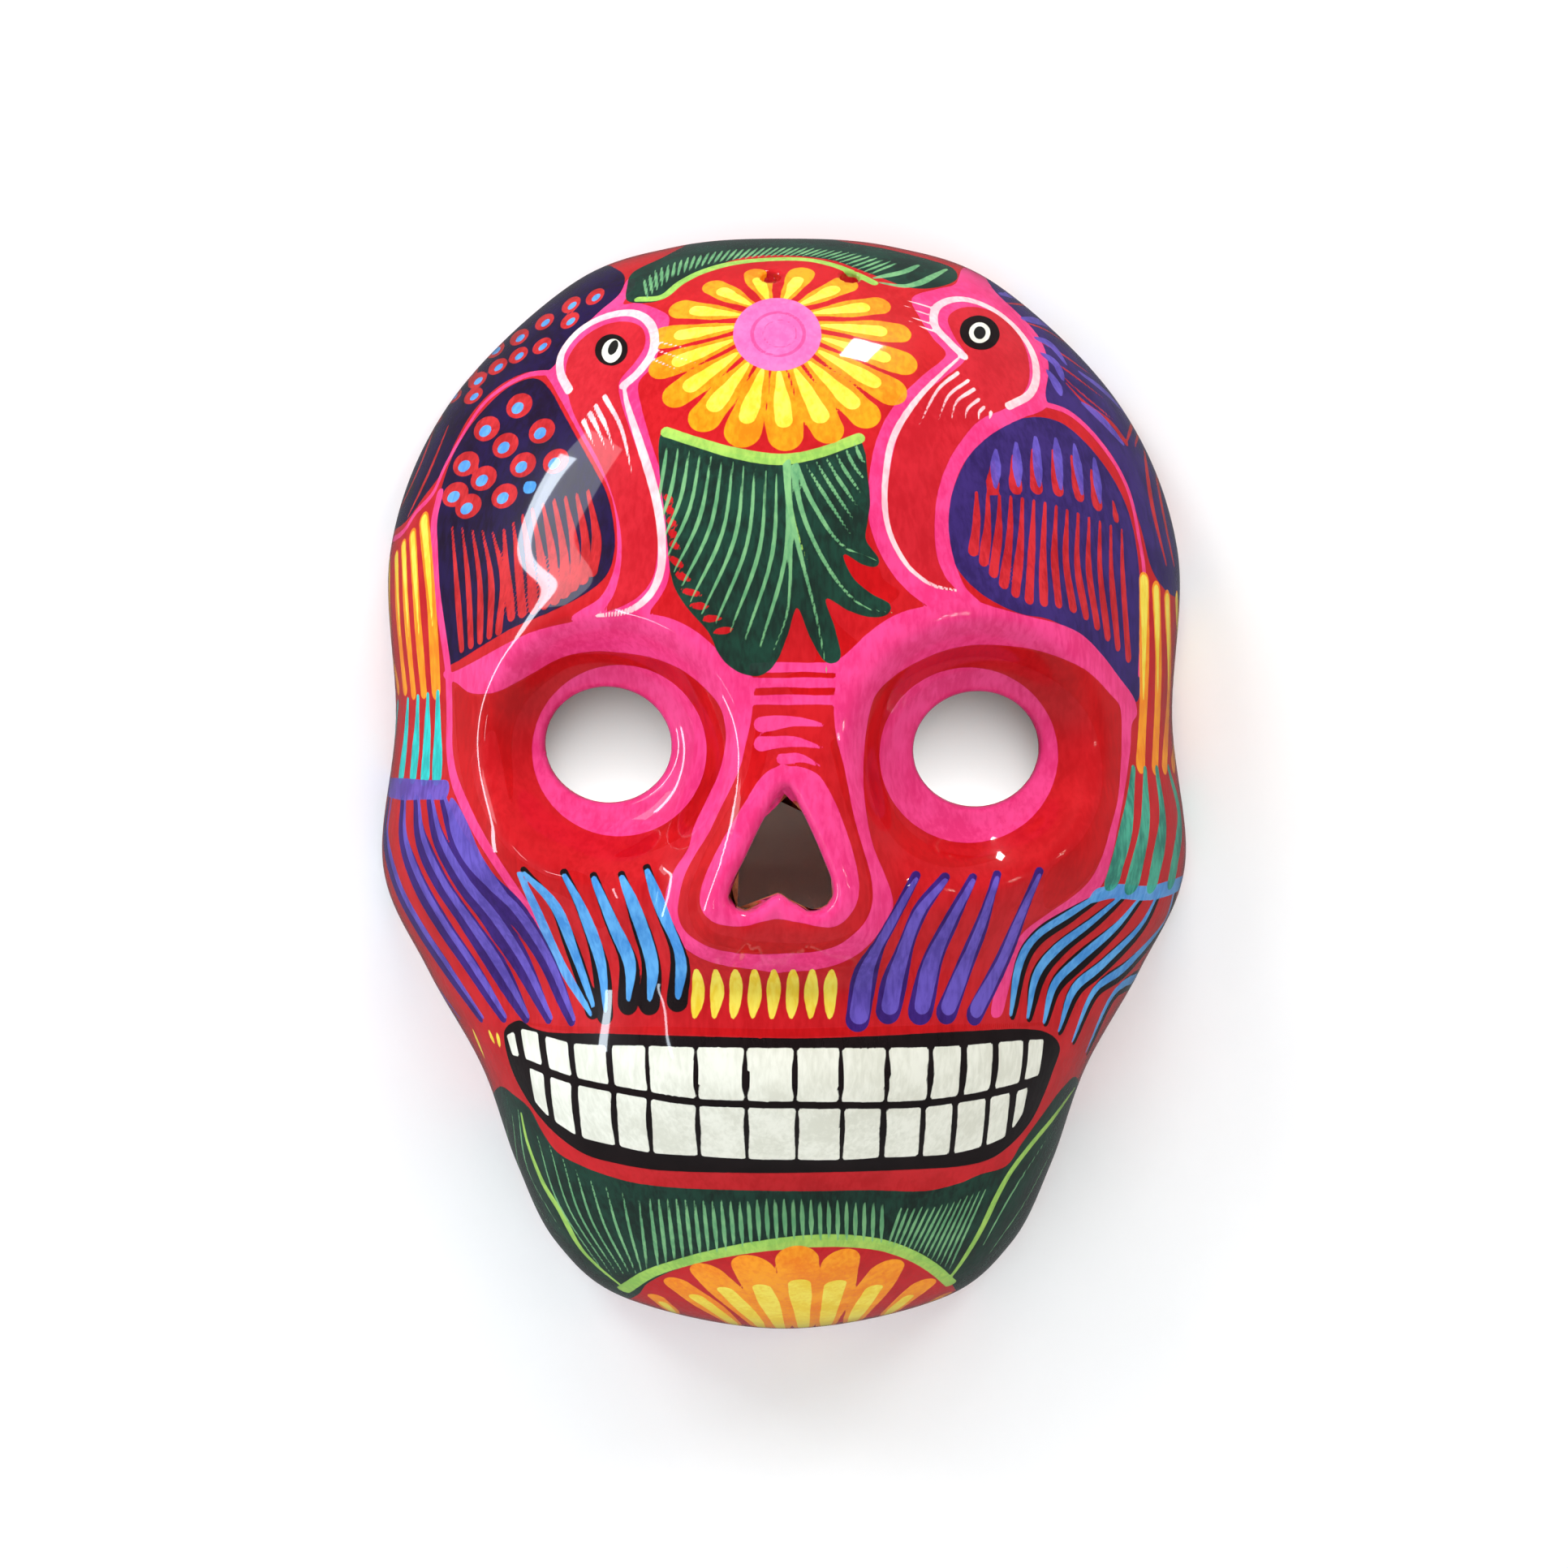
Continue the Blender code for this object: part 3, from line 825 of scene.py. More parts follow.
for centre in [(-41.9, 108.1), (-47.2, 106.3), (-47.5, 102.8), (-53.1, 102.5), (-58.7, 99.1),
    (-53.7, 97.2), (-64.1, 96.3), (-58.9, 95.1), (-63.5, 92.6), (-70, 91), (-68, 89.6),
    (-73.6, 86.1), (-68.9, 86.1), (-77.9, 80.8)]:
    patch("red_feather", oval(centre, 4.9, 2.7, 38))
    patch("sky", oval((centre[0] + 0.2, centre[1] - 0.2), 2.4, 1.1, 38))
for centre in [(-58.7, 83.9), (-65.9, 78.8), (-53.7, 78.3), (-61.8, 75.1), (-70.5, 71),
    (-57.9, 70.8), (-66.6, 67.8), (-50.6, 71.6), (-72.9, 64.2), (-62, 63.9), (-70, 61.6)]:
    patch("red_feather", oval(centre, 6.4, 4.9, 40))
    patch("sky", oval((centre[0] - 0.4, centre[1] - 0.5), 3.1, 2.2, 40))
patch("sky", [(-55, 66.9), (-55.6, 64.7), (-57.7, 64.7), (-57.4, 66.9)])
comb("red_feather", [[(-74.4, 79.6), (-78.8, 80.8), (-83.2, 76.5)], [(-78.8, 69), (-82.5, 70.3),
    (-87.5, 67.8)], [(-83.5, 59.1), (-86.9, 60.3), (-91.8, 57.9)]], 5, 1.3)
comb("red_feather", [[(-73.6, 56.9), (-64.6, 55.7)], [(-72.6, 44.2), (-62.4, 45.5)], [(-71.5, 30),
    (-63.3, 34)]], 5, 2.1, "petal")
comb("red_feather", [[(-62.1, 56.3), (-54.7, 61.6), (-43.5, 65)], [(-61.5, 47.3), (-51.6, 50.4),
    (-41.6, 54.8)], [(-60.5, 37.1), (-50.9, 40.8), (-42.4, 47)]], 9, 2.4, "petal")

# %% the wings on the right of the picture
patch("plum", [(42, 111.2), (45.8, 112.1), (53.8, 109.9), (61.9, 105), (69.3, 98.8), (76.1, 91.3),
    (81.7, 83.3), (87.9, 80.2), (94.1, 67.8), (94.1, 52.3), (92.3, 41.1), (86.1, 41.8),
    (81.7, 47.3), (79.2, 56.6), (76.1, 65.9), (72.4, 73.4), (66.8, 79.6), (61.3, 83.3),
    (56.9, 85.8), (57.5, 91.3), (55.7, 97.5), (52, 103.1), (47, 108.1)])
patch("plum", [(55.1, 81.4), (61.3, 80.2), (66.8, 75.8), (71.8, 69.6), (75.5, 62.8), (77.7, 55.4),
    (78.9, 46.1), (79.2, 35.6), (79.2, 24.4), (78.3, 18.2), (75.5, 21.9), (70.6, 28.1), (65, 33.1),
    (58.8, 36.5), (52.6, 37.7), (46.4, 40.5), (41.4, 44.2), (37.7, 49.2), (36.3, 55.4),
    (36.5, 61.6), (38.9, 69), (42.7, 75.2), (48.2, 79.6)])
comb("red_feather", [[(48.2, 106.8), (63.7, 87.6)], [(55.1, 105.6), (69.3, 81.4)], [(63.7, 100.3),
    (75.5, 75.8)]], 6, 0.8, "leaf")
stroke("red_feather", [(62.5, 88.9), (66.8, 84.5), (72.4, 80.2), (75.8, 75.8)], 1.9, "drop")
comb("red_feather", [[(76.8, 87.6), (79.9, 83.9)], [(77.4, 81.4), (80.5, 78.9)], [(75.8, 75.2),
    (79.9, 74.6)]], 3, 1.1)
comb("red_feather", [[(79.9, 74), (88.5, 74.6)], [(81.7, 61.6), (92.3, 61.6)], [(84.8, 48.6),
    (93.5, 47.3)]], 6, 2.2)
for path in ([(47.9, 108.7), (55.1, 107.1), (63.7, 101.6)], [(52.9, 103.2), (57.5, 102.2),
    (61.9, 98.8)], [(55.8, 98.9), (59.4, 97.2), (62.5, 93.2)], [(57.2, 95.4), (60.3, 93.2),
    (61.8, 89.8)], [(58.5, 91.6), (60.3, 88.9), (61.3, 86.4)], [(65, 98.2), (69.3, 96),
    (72.7, 93.2)], [(66.5, 93.8), (71.8, 90.4), (76.4, 86.1)], [(65.6, 91.3), (71.2, 87),
    (77.1, 80.8)], [(66.2, 84.5), (70.6, 80.8), (75.2, 75.5)]):
    stroke("lavender", path, 3.0)
for top, low in ([(47, 74), (46.9, 65.9)], [(51.5, 75.5), (52, 66.2)], [(55.8, 76.8),
    (56.6, 66.2)], [(60.3, 76.6), (61.4, 65.6)], [(64.4, 75.2), (66.1, 64.4)], [(68.8, 72.1),
    (70.1, 62.5)]):
    stroke("red_feather", [(top[0] - 0.6, top[1] - 2.6), (low[0] - 0.6, low[1] - 0.4)], 3.2, "drop")
    stroke("lavender", [top, low], 2.6)
comb("red_feather", [[(42.7, 64.7), (58.2, 62.2), (74.9, 56.3)], [(42.7, 57.9), (55.1, 52.3),
    (75.2, 44.9)], [(42, 51.7), (52, 41.9), (65, 38.7), (76.4, 28.1)]], 14, 2.3, "petal")
stroke("red_feather", [(73, 62.8), (73.7, 58.8)], 1.9, "drop")

# %% [markdown]
# The birds and the pink frames
#
# Two birds face each other across the flower, and their backs run down into the pink
# frames round the eyes and the nose. All of it is one bright pink, so it is laid in
# one layer, and the red bodies go on top of it.

# %% pink frames
patch("pink", [(-75.4, 24.9), (-73.2, 24.9), (-67.7, 27.7), (-62.1, 30.8), (-55.9, 33.7),
    (-48.5, 35.6), (-41, 36.8), (-32.3, 37.7), (-25.5, 36.8), (-19.3, 33.7), (-13.7, 28.7),
    (-10.6, 25.2), (-6.9, 23.7), (-6.8, 18.7), (-7.5, 13.1), (-8.5, 8.8), (-9.7, 3.8),
    (-11.9, -1.1), (-14.4, -6.1), (-16.8, -11.1), (-19.9, -16), (-22.1, -20.4), (-23.3, -25.3),
    (-23.5, -29), (-22.1, -32.4), (-18.7, -35.1), (-13.7, -37), (-6.3, -37.8), (-0.1, -38),
    (-0.1, -41.7), (-6.3, -41.2), (-14.4, -40), (-19.9, -37.8), (-24.3, -34), (-26.4, -28.4),
    (-26.1, -23.5), (-24.3, -19.1), (-21.2, -14.2), (-20.1, -9.8), (-17.5, -4.2), (-14.4, 2.6),
    (-13, 8.8), (-13.1, 13.1), (-14.4, 17.5), (-18.1, 21.8), (-23, 25.5), (-29.2, 28),
    (-36.7, 29.2), (-42.9, 29.4), (-49.7, 27.9), (-57.1, 23.8), (-63.9, 20.4), (-69.5, 20.2),
    (-72.6, 22.4), (-75.1, 23.3)])
patch("pink", [(11.7, 26.8), (14.2, 29.2), (19.7, 34.3), (25.9, 38), (34, 39.9), (40.2, 41.1),
    (46.4, 39.3), (53.8, 37.3), (61.3, 35.4), (66.2, 33), (70.6, 28.6), (74.3, 23.7), (77.5, 19.3),
    (78.3, 15.6), (77.1, 13.1), (76.8, 7.5), (75.6, -1.1), (74, -9.8), (72.7, -16), (70.6, -22.2),
    (66.2, -26.6), (58.8, -30.3), (53.2, -35.5), (51, -40.8), (49.6, -46.4), (48.2, -51.3),
    (45.9, -51), (47.3, -43.9), (49.8, -37.7), (53.2, -32.8), (58.2, -29), (64.4, -24.7),
    (68.1, -21), (70.6, -16), (72.4, -9.8), (74, -3.6), (74.7, 3.8), (74.9, 10), (74.6, 16.8),
    (72.4, 19.9), (67.5, 24.9), (61.3, 28), (55.1, 29.9), (47.6, 30.8), (41.4, 30.8), (35.2, 29.5),
    (29, 26.8), (24.1, 23.7), (20.4, 19.9), (18.8, 15), (17.9, 8.8), (17.6, 1.3), (18.2, -6.1),
    (19.7, -13.5), (22.2, -19.7), (23.8, -24.1), (24.1, -27.8), (22.2, -31.5), (17.9, -36.5),
    (12.9, -39.6), (6.7, -41.2), (-0.7, -41.7), (-2.6, -41.7), (-2.6, -38), (5.5, -37.4),
    (11.7, -35.9), (16, -32.8), (18.5, -29.7), (19.7, -25.3), (19.1, -19.7), (17.3, -13.5),
    (15.4, -6.7), (14.2, -0.5), (13.2, 4.4), (11.7, 10), (11.1, 16.2), (11.4, 21.8)])
stroke("pink", [(-76.3, 64.4), (-77.6, 58.4), (-77.5, 52.2), (-77, 42.9), (-75.7, 33.6),
    (-74.5, 24.9), (-74.2, 15), (-74.2, 7.5), (-73.2, 1.3), (-70.8, -4.9), (-67.7, -11.1),
    (-63.9, -17.3), (-60.2, -22.8), (-55.9, -29), (-53.1, -34), (-50.9, -39)], 2.6, "even")
patch("pink", [(-3.2, 3.1), (5.8, 3.1), (10.6, -2.6), (15.5, -15.8), (16.4, -25.5), (11.5, -31.6),
    (3.2, -30.7), (-2, -30), (-9.7, -31.6), (-16.2, -30.3), (-18.7, -25.5), (-16.2, -17.4),
    (-9.7, -5.8)])
for hole, width, height in ((EYE_LEFT, 38.7, 38.0), (EYE_RIGHT, 39.6, 38.9)):
    centre = (hole[0] / MM * 0.985 + (0.9 if hole[0] < 0 else 0.0), hole[1] / MM - 2.6)
    patch("pink", oval(centre, width, height, count=16))
for height in (25.8, 22.4, 18.6):
    stroke("pink", [(-6.8, height), (2.0, height + 0.1), (11.6, height)], 2.1, "even")
for path, width in (([(-5, 13.2), (2, 13.9), (9, 13)], 3.2), ([(-5, 8.9), (2, 9.4), (8.6, 8)],
    3.1), ([(-0.4, 5.5), (3.8, 5.7), (7.9, 4)], 2.6)):
    stroke("pink", path, width, "taper")

# %% the bird on the left
stroke("pink", [(-50.9, 91.3), (-56.5, 90.8), (-62.1, 88.1), (-67, 83.9), (-71.3, 77.4),
    (-75.1, 70.6), (-77.9, 64.4), (-81.6, 60.3), (-85, 55.4), (-90.6, 52.3)], 1.35, "even")
patch("pink", [(-33, 111.8), (-33.3, 109.9), (-35.7, 106.5), (-32.3, 106.7), (-27.4, 105),
    (-25.4, 102.8), (-27.5, 96.9), (-29.2, 92.6), (-32.3, 88.9), (-31.7, 83.9), (-29.5, 75.8),
    (-27.1, 68.4), (-25.8, 61), (-25.2, 52.3), (-25.8, 44.9), (-28.6, 39.9), (-32.3, 36.2),
    (-41, 34.3), (-47.2, 36.8), (-41, 41.1), (-38.2, 46.1), (-37, 51.7), (-37.3, 59.1),
    (-38.8, 65.3), (-41.6, 70.9), (-45.4, 77.7), (-48.8, 83.9), (-51.6, 88.9), (-52.7, 91),
    (-50.6, 93.2), (-47.2, 98.5), (-41, 104.7), (-36.7, 108.4), (-34.8, 111.8)])
patch("red_shape", [(-48.3, 88.9), (-48.1, 93.8), (-45.4, 98.2), (-40.4, 101.6), (-35.4, 102.6),
    (-31.6, 101.3), (-30.8, 97.5), (-33.3, 93.2), (-36.4, 89.5), (-36.4, 85.8), (-34.5, 79.6),
    (-32, 72.7), (-29.7, 65.3), (-28.2, 58.5), (-28, 52.3), (-29.2, 45.5), (-33.3, 40.8),
    (-39.8, 38.2), (-37.6, 42.4), (-36.2, 48.6), (-36.2, 55.4), (-37.4, 61.6), (-39.2, 67.2),
    (-41.6, 72.7), (-44.7, 78.3), (-47.1, 83.3)])
stroke("blush", [(-47.7, 87.3), (-49.6, 91.3), (-49.2, 95.7), (-45.4, 100.5), (-39.8, 103.6),
    (-33.9, 104.5), (-30, 102.5), (-28.7, 98.8), (-29.5, 95.1), (-32.3, 91.3), (-35.6, 88.4)], 2.1,
    "even")
stroke("blush", [(-35.6, 88.7), (-34.7, 83.9), (-32.3, 76.5), (-29.9, 69), (-28, 61.6),
    (-27.1, 54.1), (-27.4, 47.3), (-29.9, 41.8), (-34.8, 38.3), (-41.6, 37.3)], 2.0, "leaf")
for path in ([(-39.8, 85.9), (-36.1, 78.9), (-33.6, 68.4)], [(-41.8, 83.9), (-39.5, 79.3),
    (-37.6, 73.7)], [(-43.1, 82.2), (-41.3, 78.6), (-39.5, 74.3)], [(-44.5, 80.5), (-43.5, 78.3),
    (-42.1, 74.9)]):
    stroke("blush", path, 1.15, "taper")
for path in ([(-28.5, 98.2), (-19.9, 96.3)], [(-28.6, 96.3), (-19, 93.2)], [(-29.5, 94.4),
    (-22.1, 91.2)]):
    stroke("blush", path, 0.6, "taper")
patch("black", oval((-38.3, 96.3), 7.4, 7.0, 20))
patch("enamel", oval((-38.2, 96.1), 4.3, 5.4, -20))
patch("black_top", oval((-37.9, 96.8), 2.0, 3.6, -25))

# %% the bird on the right
stroke("pink", [(56.9, 84.5), (63.1, 82.4), (68.7, 77.4), (73.7, 70.6), (76.8, 63.8), (78.6, 55.4),
    (79.9, 46.7), (79.5, 36.8), (78.9, 24.4)], 1.5, "even")
patch("pink", [(28.4, 107.8), (34, 109.8), (38, 110.9), (39.6, 114.3), (43, 114.3), (47, 109),
    (52.6, 103.7), (56.9, 98.5), (58.7, 92.6), (58, 87), (57.9, 83.3), (52, 80.8), (45.8, 77.4),
    (40.5, 72.1), (37.5, 65.3), (36.5, 57.9), (37.5, 50.4), (40.2, 43.6), (43.9, 39.3), (36.5, 38),
    (30.3, 40.5), (24.7, 45.8), (20.7, 52.6), (18.6, 60.3), (19, 69), (21, 77.7), (25.3, 85.1),
    (30.9, 90.7), (35.9, 95.1), (33.1, 98.8), (30.3, 103.1)])
patch("red_shape", [(36.3, 103.1), (38.9, 105.5), (43.9, 105.6), (48.9, 103.1), (52.6, 98.8),
    (54.3, 93.8), (54.2, 88.9), (52, 85.3), (48.9, 83.2), (43.6, 80.8), (39.6, 76.5), (36.2, 70.9),
    (34, 64.1), (33.4, 56.6), (34, 50.4), (35.9, 45.8), (38, 43), (34, 43.6), (29, 46.7),
    (25, 52.3), (23.1, 58.5), (23, 65.9), (24.3, 74), (26.7, 80.8), (30.5, 86.2), (35.2, 89.9),
    (40.3, 94.4), (38, 98.8)])
stroke("blush", [(39.9, 94.9), (36.5, 98.2), (33.4, 101.9), (34, 105.9), (38.9, 107.6),
    (45.1, 105.9), (50.7, 101.9), (54.8, 96.3), (56, 90.7), (54.4, 86.4), (49.8, 83.8)], 2.0,
    "even")
stroke("blush", [(39.6, 95.2), (34, 90.1), (28.4, 83.9), (24.1, 76.5), (22.5, 67.8), (22.5, 60.3),
    (24.1, 54.1), (27.8, 48), (32.8, 44.2), (38.3, 42.9)], 1.4, "leaf")
for path in ([(38.6, 91.2), (34, 87.3), (30, 79.6)], [(40.9, 89.5), (36.5, 86.1), (34.3, 80.8)],
    [(42.2, 87.6), (38.3, 84.8), (37.1, 80.7)], [(43.2, 85.3), (40.8, 83.3), (40.1, 80.8)],
    [(44.4, 83.6), (43.3, 82.4), (43.2, 80.8)], [(45.9, 82.5), (45.6, 80.8)]):
    stroke("blush", path, 0.85, "taper")
for path in ([(32.8, 105.6), (24.7, 108.1)], [(32.8, 103.7), (25.3, 106.7)], [(32.8, 101.9),
    (26.6, 104.2)], [(33.7, 100.1), (27.5, 102.8)]):
    stroke("blush", path, 0.6, "taper")
patch("black", oval((43.4, 100.1), 9.0, 7.6, -15))
patch("enamel", oval((43.4, 100.1), 4.7, 4.6))
patch("black_top", oval((43.4, 100.1), 2.7, 2.9))

# %% [markdown]
# The marigold and the leaves of the forehead
#
# The flower is painted petal by petal round a pink eye, each petal a fat orange drop
# with a yellow one inside it. The leaves are dark green shapes with a light edge, and
# fine light hairs drawn out of the edge while it was still wet.

# %% the marigold
marigold_heart = np.array((-1.5, 99.7))
marigold_outside = np.array((-0.4, 94.6))
for k in range(17):
    angle = math.radians(9 + 360 / 17 * k)
    ray = np.array([math.sin(angle), math.cos(angle)])
    low = (1 - math.cos(angle)) / 2
    start = marigold_heart + ray * (9.0, 7.4)
    end = marigold_outside + ray * (27.4 - 1.4 * low, 18.8 - 1.6 * low)
    width = 5.7 + 1.9 * low
    stroke("orange", [start, (start + end) / 2, end], width, "petal")
    stroke("yellow", [start * 0.93 + end * 0.07, start * 0.55 + end * 0.45,
        start * 0.22 + end * 0.78], width * 0.52, "drop")
patch("rose_top", oval(marigold_heart, 19.6, 16.2, count=16))
stroke("rose_line", oval(marigold_heart + (0.2, 0.1), 11.6, 9.6, count=12), 0.8, "even",
    closed=True)
stroke("rose_line", oval(marigold_heart + (0.6, 0.2), 7.4, 6.0, count=12), 0.35, "even",
    closed=True)

# %% the leaf over the marigold
patch("green", [(-34.8, 107.2), (-34.8, 110.4), (-33.5, 113.5), (-27.1, 116.7), (-19.2, 120.4),
    (-8.6, 122.5), (1.9, 122.5), (12.5, 120.4), (23, 118.6), (33.6, 115.9), (37.8, 114.1),
    (38.1, 111.7), (33.6, 110.1), (27.8, 110.1), (20.4, 112.7), (14.6, 114.9), (10.4, 116.2),
    (1.9, 117.2), (-7.6, 117), (-15, 114.9), (-21.3, 111.7), (-26.6, 107.7), (-30.8, 106.7)])
stroke("lime", [(-32.4, 107.5), (-27.1, 108), (-22.9, 111.2), (-17.6, 113.8), (-10.8, 115.6),
    (-2.3, 116.4), (5.1, 116.3), (10.9, 115.1), (15.6, 113.3), (19.9, 111.2)], 2.0, "even")
comb("leaf_hair", [[(-30.3, 107.7), (-24.5, 112.2), (-15, 115.6), (-0.2, 117.1), (10.4, 116.2),
    (18.8, 113)], [(-31.1, 112.2), (-26.6, 114.9), (-16, 118), (0.9, 119.1), (14.1, 118),
    (25.2, 115.6)]], 38, 0.75)
for path in ([(20.9, 111.2), (28.3, 110.6), (36.2, 114.2)], [(19.9, 112.2), (26.2, 113.5),
    (29.9, 115.1)]):
    stroke("leaf_hair", path, 1.7)

# %% the leaf under the marigold
patch("green", [(-27.7, 76.5), (-27.5, 67.8), (-26.3, 58.5), (-25.5, 49.2), (-24.3, 43.6),
    (-21.2, 38.7), (-16.8, 33.7), (-14.4, 28.7), (-11.3, 25.5), (-7.5, 24), (-4.4, 24.4),
    (-1.5, 27.4), (1, 33.6), (2.9, 39.1), (5.5, 33.1), (8.6, 27.6), (11.1, 26.8), (12.6, 28.7),
    (11.2, 34.9), (9.3, 41.1), (14.2, 38.5), (19.1, 37), (22.8, 37.5), (23.5, 39.9), (19.1, 42.4),
    (15.1, 46.1), (13.2, 51), (17.3, 48.7), (20.4, 48.2), (21, 50.1), (18.2, 54.1), (18.6, 58.5),
    (19.1, 62.8), (18.5, 69), (17.9, 74), (16, 76.3), (8.6, 74), (-0.7, 72.4), (-10, 73.1),
    (-19.3, 75.2), (-25.5, 78)])
comb("red_top", [[(-26.6, 64.1), (-25.4, 53.5)], [(-24.6, 62.5), (-23.2, 52.3)]], 5, 1.5, "leaf")
comb("red_top", [[(-25.5, 50.4), (-21.8, 41.1), (-15.6, 33.7)], [(-22.1, 48), (-17.8, 41.1),
    (-11.3, 34.3)]], 6, 1.6, "leaf", 0.15)
stroke("lime", [(-26.2, 78.1), (-19.2, 75.8), (-10.8, 73.4), (-1.2, 72), (7.2, 73.3),
    (16.7, 76.7)], 2.5, "even")
comb("leaf_hair", [[(-25.9, 75), (-15.1, 72.3), (-4.3, 69.6), (0.7, 67.8)], [(-27, 67.8),
    (-18.4, 58.8), (-8.8, 53.4), (0.2, 49.8)], [(-28.1, 61.5), (-25.6, 49.8), (-18.7, 38.1),
    (-5.4, 30)]], 12, 0.85)
comb("leaf_hair", [[(4.6, 71.3), (10.4, 72.9), (15.6, 75.8)], [(8.8, 64.4), (13.5, 68.7),
    (17, 72.4)], [(14.6, 55.5), (16.6, 62.8), (18.3, 70.8)]], 6, 0.8)
for path in ([(0.9, 71.6), (1.4, 61.3), (4, 49.6), (7.2, 37), (9.6, 24.3)], [(1.9, 70.2),
    (4.6, 58.6), (10.4, 47), (17.2, 39.6), (24.1, 38)], [(2.7, 70.8), (6.1, 62.8), (12.5, 53.3),
    (20.4, 49.6)], [(0.3, 70.8), (1.4, 54.9), (0.9, 39.1), (-2.3, 29.6)]):
    stroke("leaf_hair", path, 1.15, "taper")
stroke("lime", [(0.6, 72.1), (1.1, 62.8), (2.7, 56), (5.1, 49.6)], 1.5, "taper")

# %% [markdown]
# Bands down the sides, and the cheeks
#
# Down each side run yellow, turquoise and blue strokes like a fringe, which bend in
# over the cheekbone and end at the jaw. Each is a long pull of the brush, so each is
# one stroke through a few places.

# %% the left side and cheek
for path, width in (([(-86, 50.4), (-85.6, 36.8), (-84.1, 21.3)], 3.4), ([(-84.4, 52.9),
    (-83.7, 36.8), (-82.2, 20.2)], 3.2), ([(-82.4, 55.1), (-81.3, 36.8), (-79.9, 20.4)], 3.4),
    ([(-79.9, 58.5), (-78.2, 39.9), (-77.2, 20.7)], 4.0), ([(-87.5, 49.2), (-87.5, 33.7),
    (-85.6, 21.3)], 3.2)):
    path = np.array(path)
    stroke("orange", path, width, "even")
    stroke("yellow", [path[0], path[0] * 0.5 + path[1] * 0.5, path[1] * 0.75 + path[2] * 0.25],
        width * 0.7, "taper")
comb("turquoise", [[(-85.6, 18.1), (-81.9, 19), (-76.8, 20.2)], [(-86.3, 10.6), (-81.9, 10.6),
    (-76.8, 10.9)], [(-87.5, 2.6), (-82.5, 2), (-77, 1.8)]], 5, 4.4, "petal")
stroke("lavender", [(-90.6, 0.1), (-85, -1.1), (-75.4, -1.3)], 4.6, "even")
left_flow = [[(-90.6, -3), (-83.2, -3.6), (-75.7, -3.6)], [(-92.5, -12.3), (-83.8, -12.3),
    (-72.6, -12.3)], [(-90.6, -23.5), (-81.3, -22.2), (-66.4, -21.6)], [(-86.3, -32.1),
    (-74.5, -31.5), (-59.6, -28.4)], [(-80.7, -40.8), (-66.4, -40.2), (-52.8, -39)], [(-72.6, -52),
    (-59.6, -51.7), (-47.2, -52.3)]]
comb("indigo", left_flow, 6, 7.6, "leaf")
comb("lavender", left_flow, 6, 3.2, "leaf", shift=(0.6, 0.2))
patch("lavender", [(-73.9, -3), (-70.8, -7.3), (-67, -16), (-60.8, -25.3), (-62.7, -25.3),
    (-68.3, -20.4), (-72, -15.4), (-74.2, -9.2)])
for path in ([(-57.7, -19.1), (-50.9, -27.2), (-46.6, -37.7), (-42.6, -49.8)], [(-48.8, -19.6),
    (-44.7, -28.4), (-40.9, -39.6), (-39.8, -51)], [(-42.3, -20.2), (-38.2, -30.9), (-34.5, -39.6),
    (-34.7, -48.6)], [(-36.1, -19.9), (-33, -28.4), (-29.5, -39.6), (-30, -48.6)], [(-30.5, -18.4),
    (-27.1, -28.4), (-23.2, -38.3), (-23.7, -48.1)]):
    path = np.array(path)
    stroke("black", path, 5.0, "petal")
    stroke("sky", np.vstack([path[0] + (0.1, -0.8), path[1:3] + (0.2, 0), path[3] + (0.2, 0.9)]),
        3.3, "leaf")
stroke("sky", [(-58.7, -20), (-54.7, -28.4), (-49.7, -39.6), (-42.9, -51)], 3.2, "leaf")

# %% the right side and cheek
for path, width in (([(79.9, 44.9), (79.9, 22.4), (79.1, 4.6)], 4.6), ([(82.6, 42.9), (83.1, 24.3),
    (82.3, 3.8)], 4.2), ([(85, 41), (85.5, 24.3), (84.4, 3.9)], 4.0), ([(87.1, 41), (87.5, 24.3),
    (86.3, 4.4)], 4.0), ([(89.2, 40.4), (89.7, 24.3), (87.9, 4.4)], 3.6)):
    path = np.array(path)
    stroke("orange", path, width, "even")
    stroke("yellow", [path[0], path[0] * 0.5 + path[1] * 0.5, path[1] * 0.8 + path[2] * 0.2],
        width * 0.7, "taper")
comb("teal", [[(77.5, 3.2), (82.3, 3.1), (87.9, 3.8)], [(76.1, -9.2), (83.6, -9.2), (91.6, -6.7)],
    [(73, -21), (81.7, -21.6), (90.4, -19.1)]], 5, 6.2, "petal")
stroke("sky", [(69.3, -24.7), (73.7, -23.8), (81.7, -24.1), (91, -21)], 3.6, "even")
right_flow = [[(71.5, -24.1), (79.9, -25.3), (91, -21.6)], [(63.7, -29), (75.5, -32.1),
    (89.8, -30.3)], [(56.3, -34), (67.5, -39.6), (81.7, -40.8)], [(52.6, -40.2), (61.3, -45.1),
    (73.7, -46.4)], [(50.7, -51.3), (58.8, -53.2), (67.5, -59.4)]]
comb("black", right_flow, 6, 5.6, "leaf")
comb("sky", right_flow, 6, 2.9, "leaf", shift=(-0.4, 0.2))
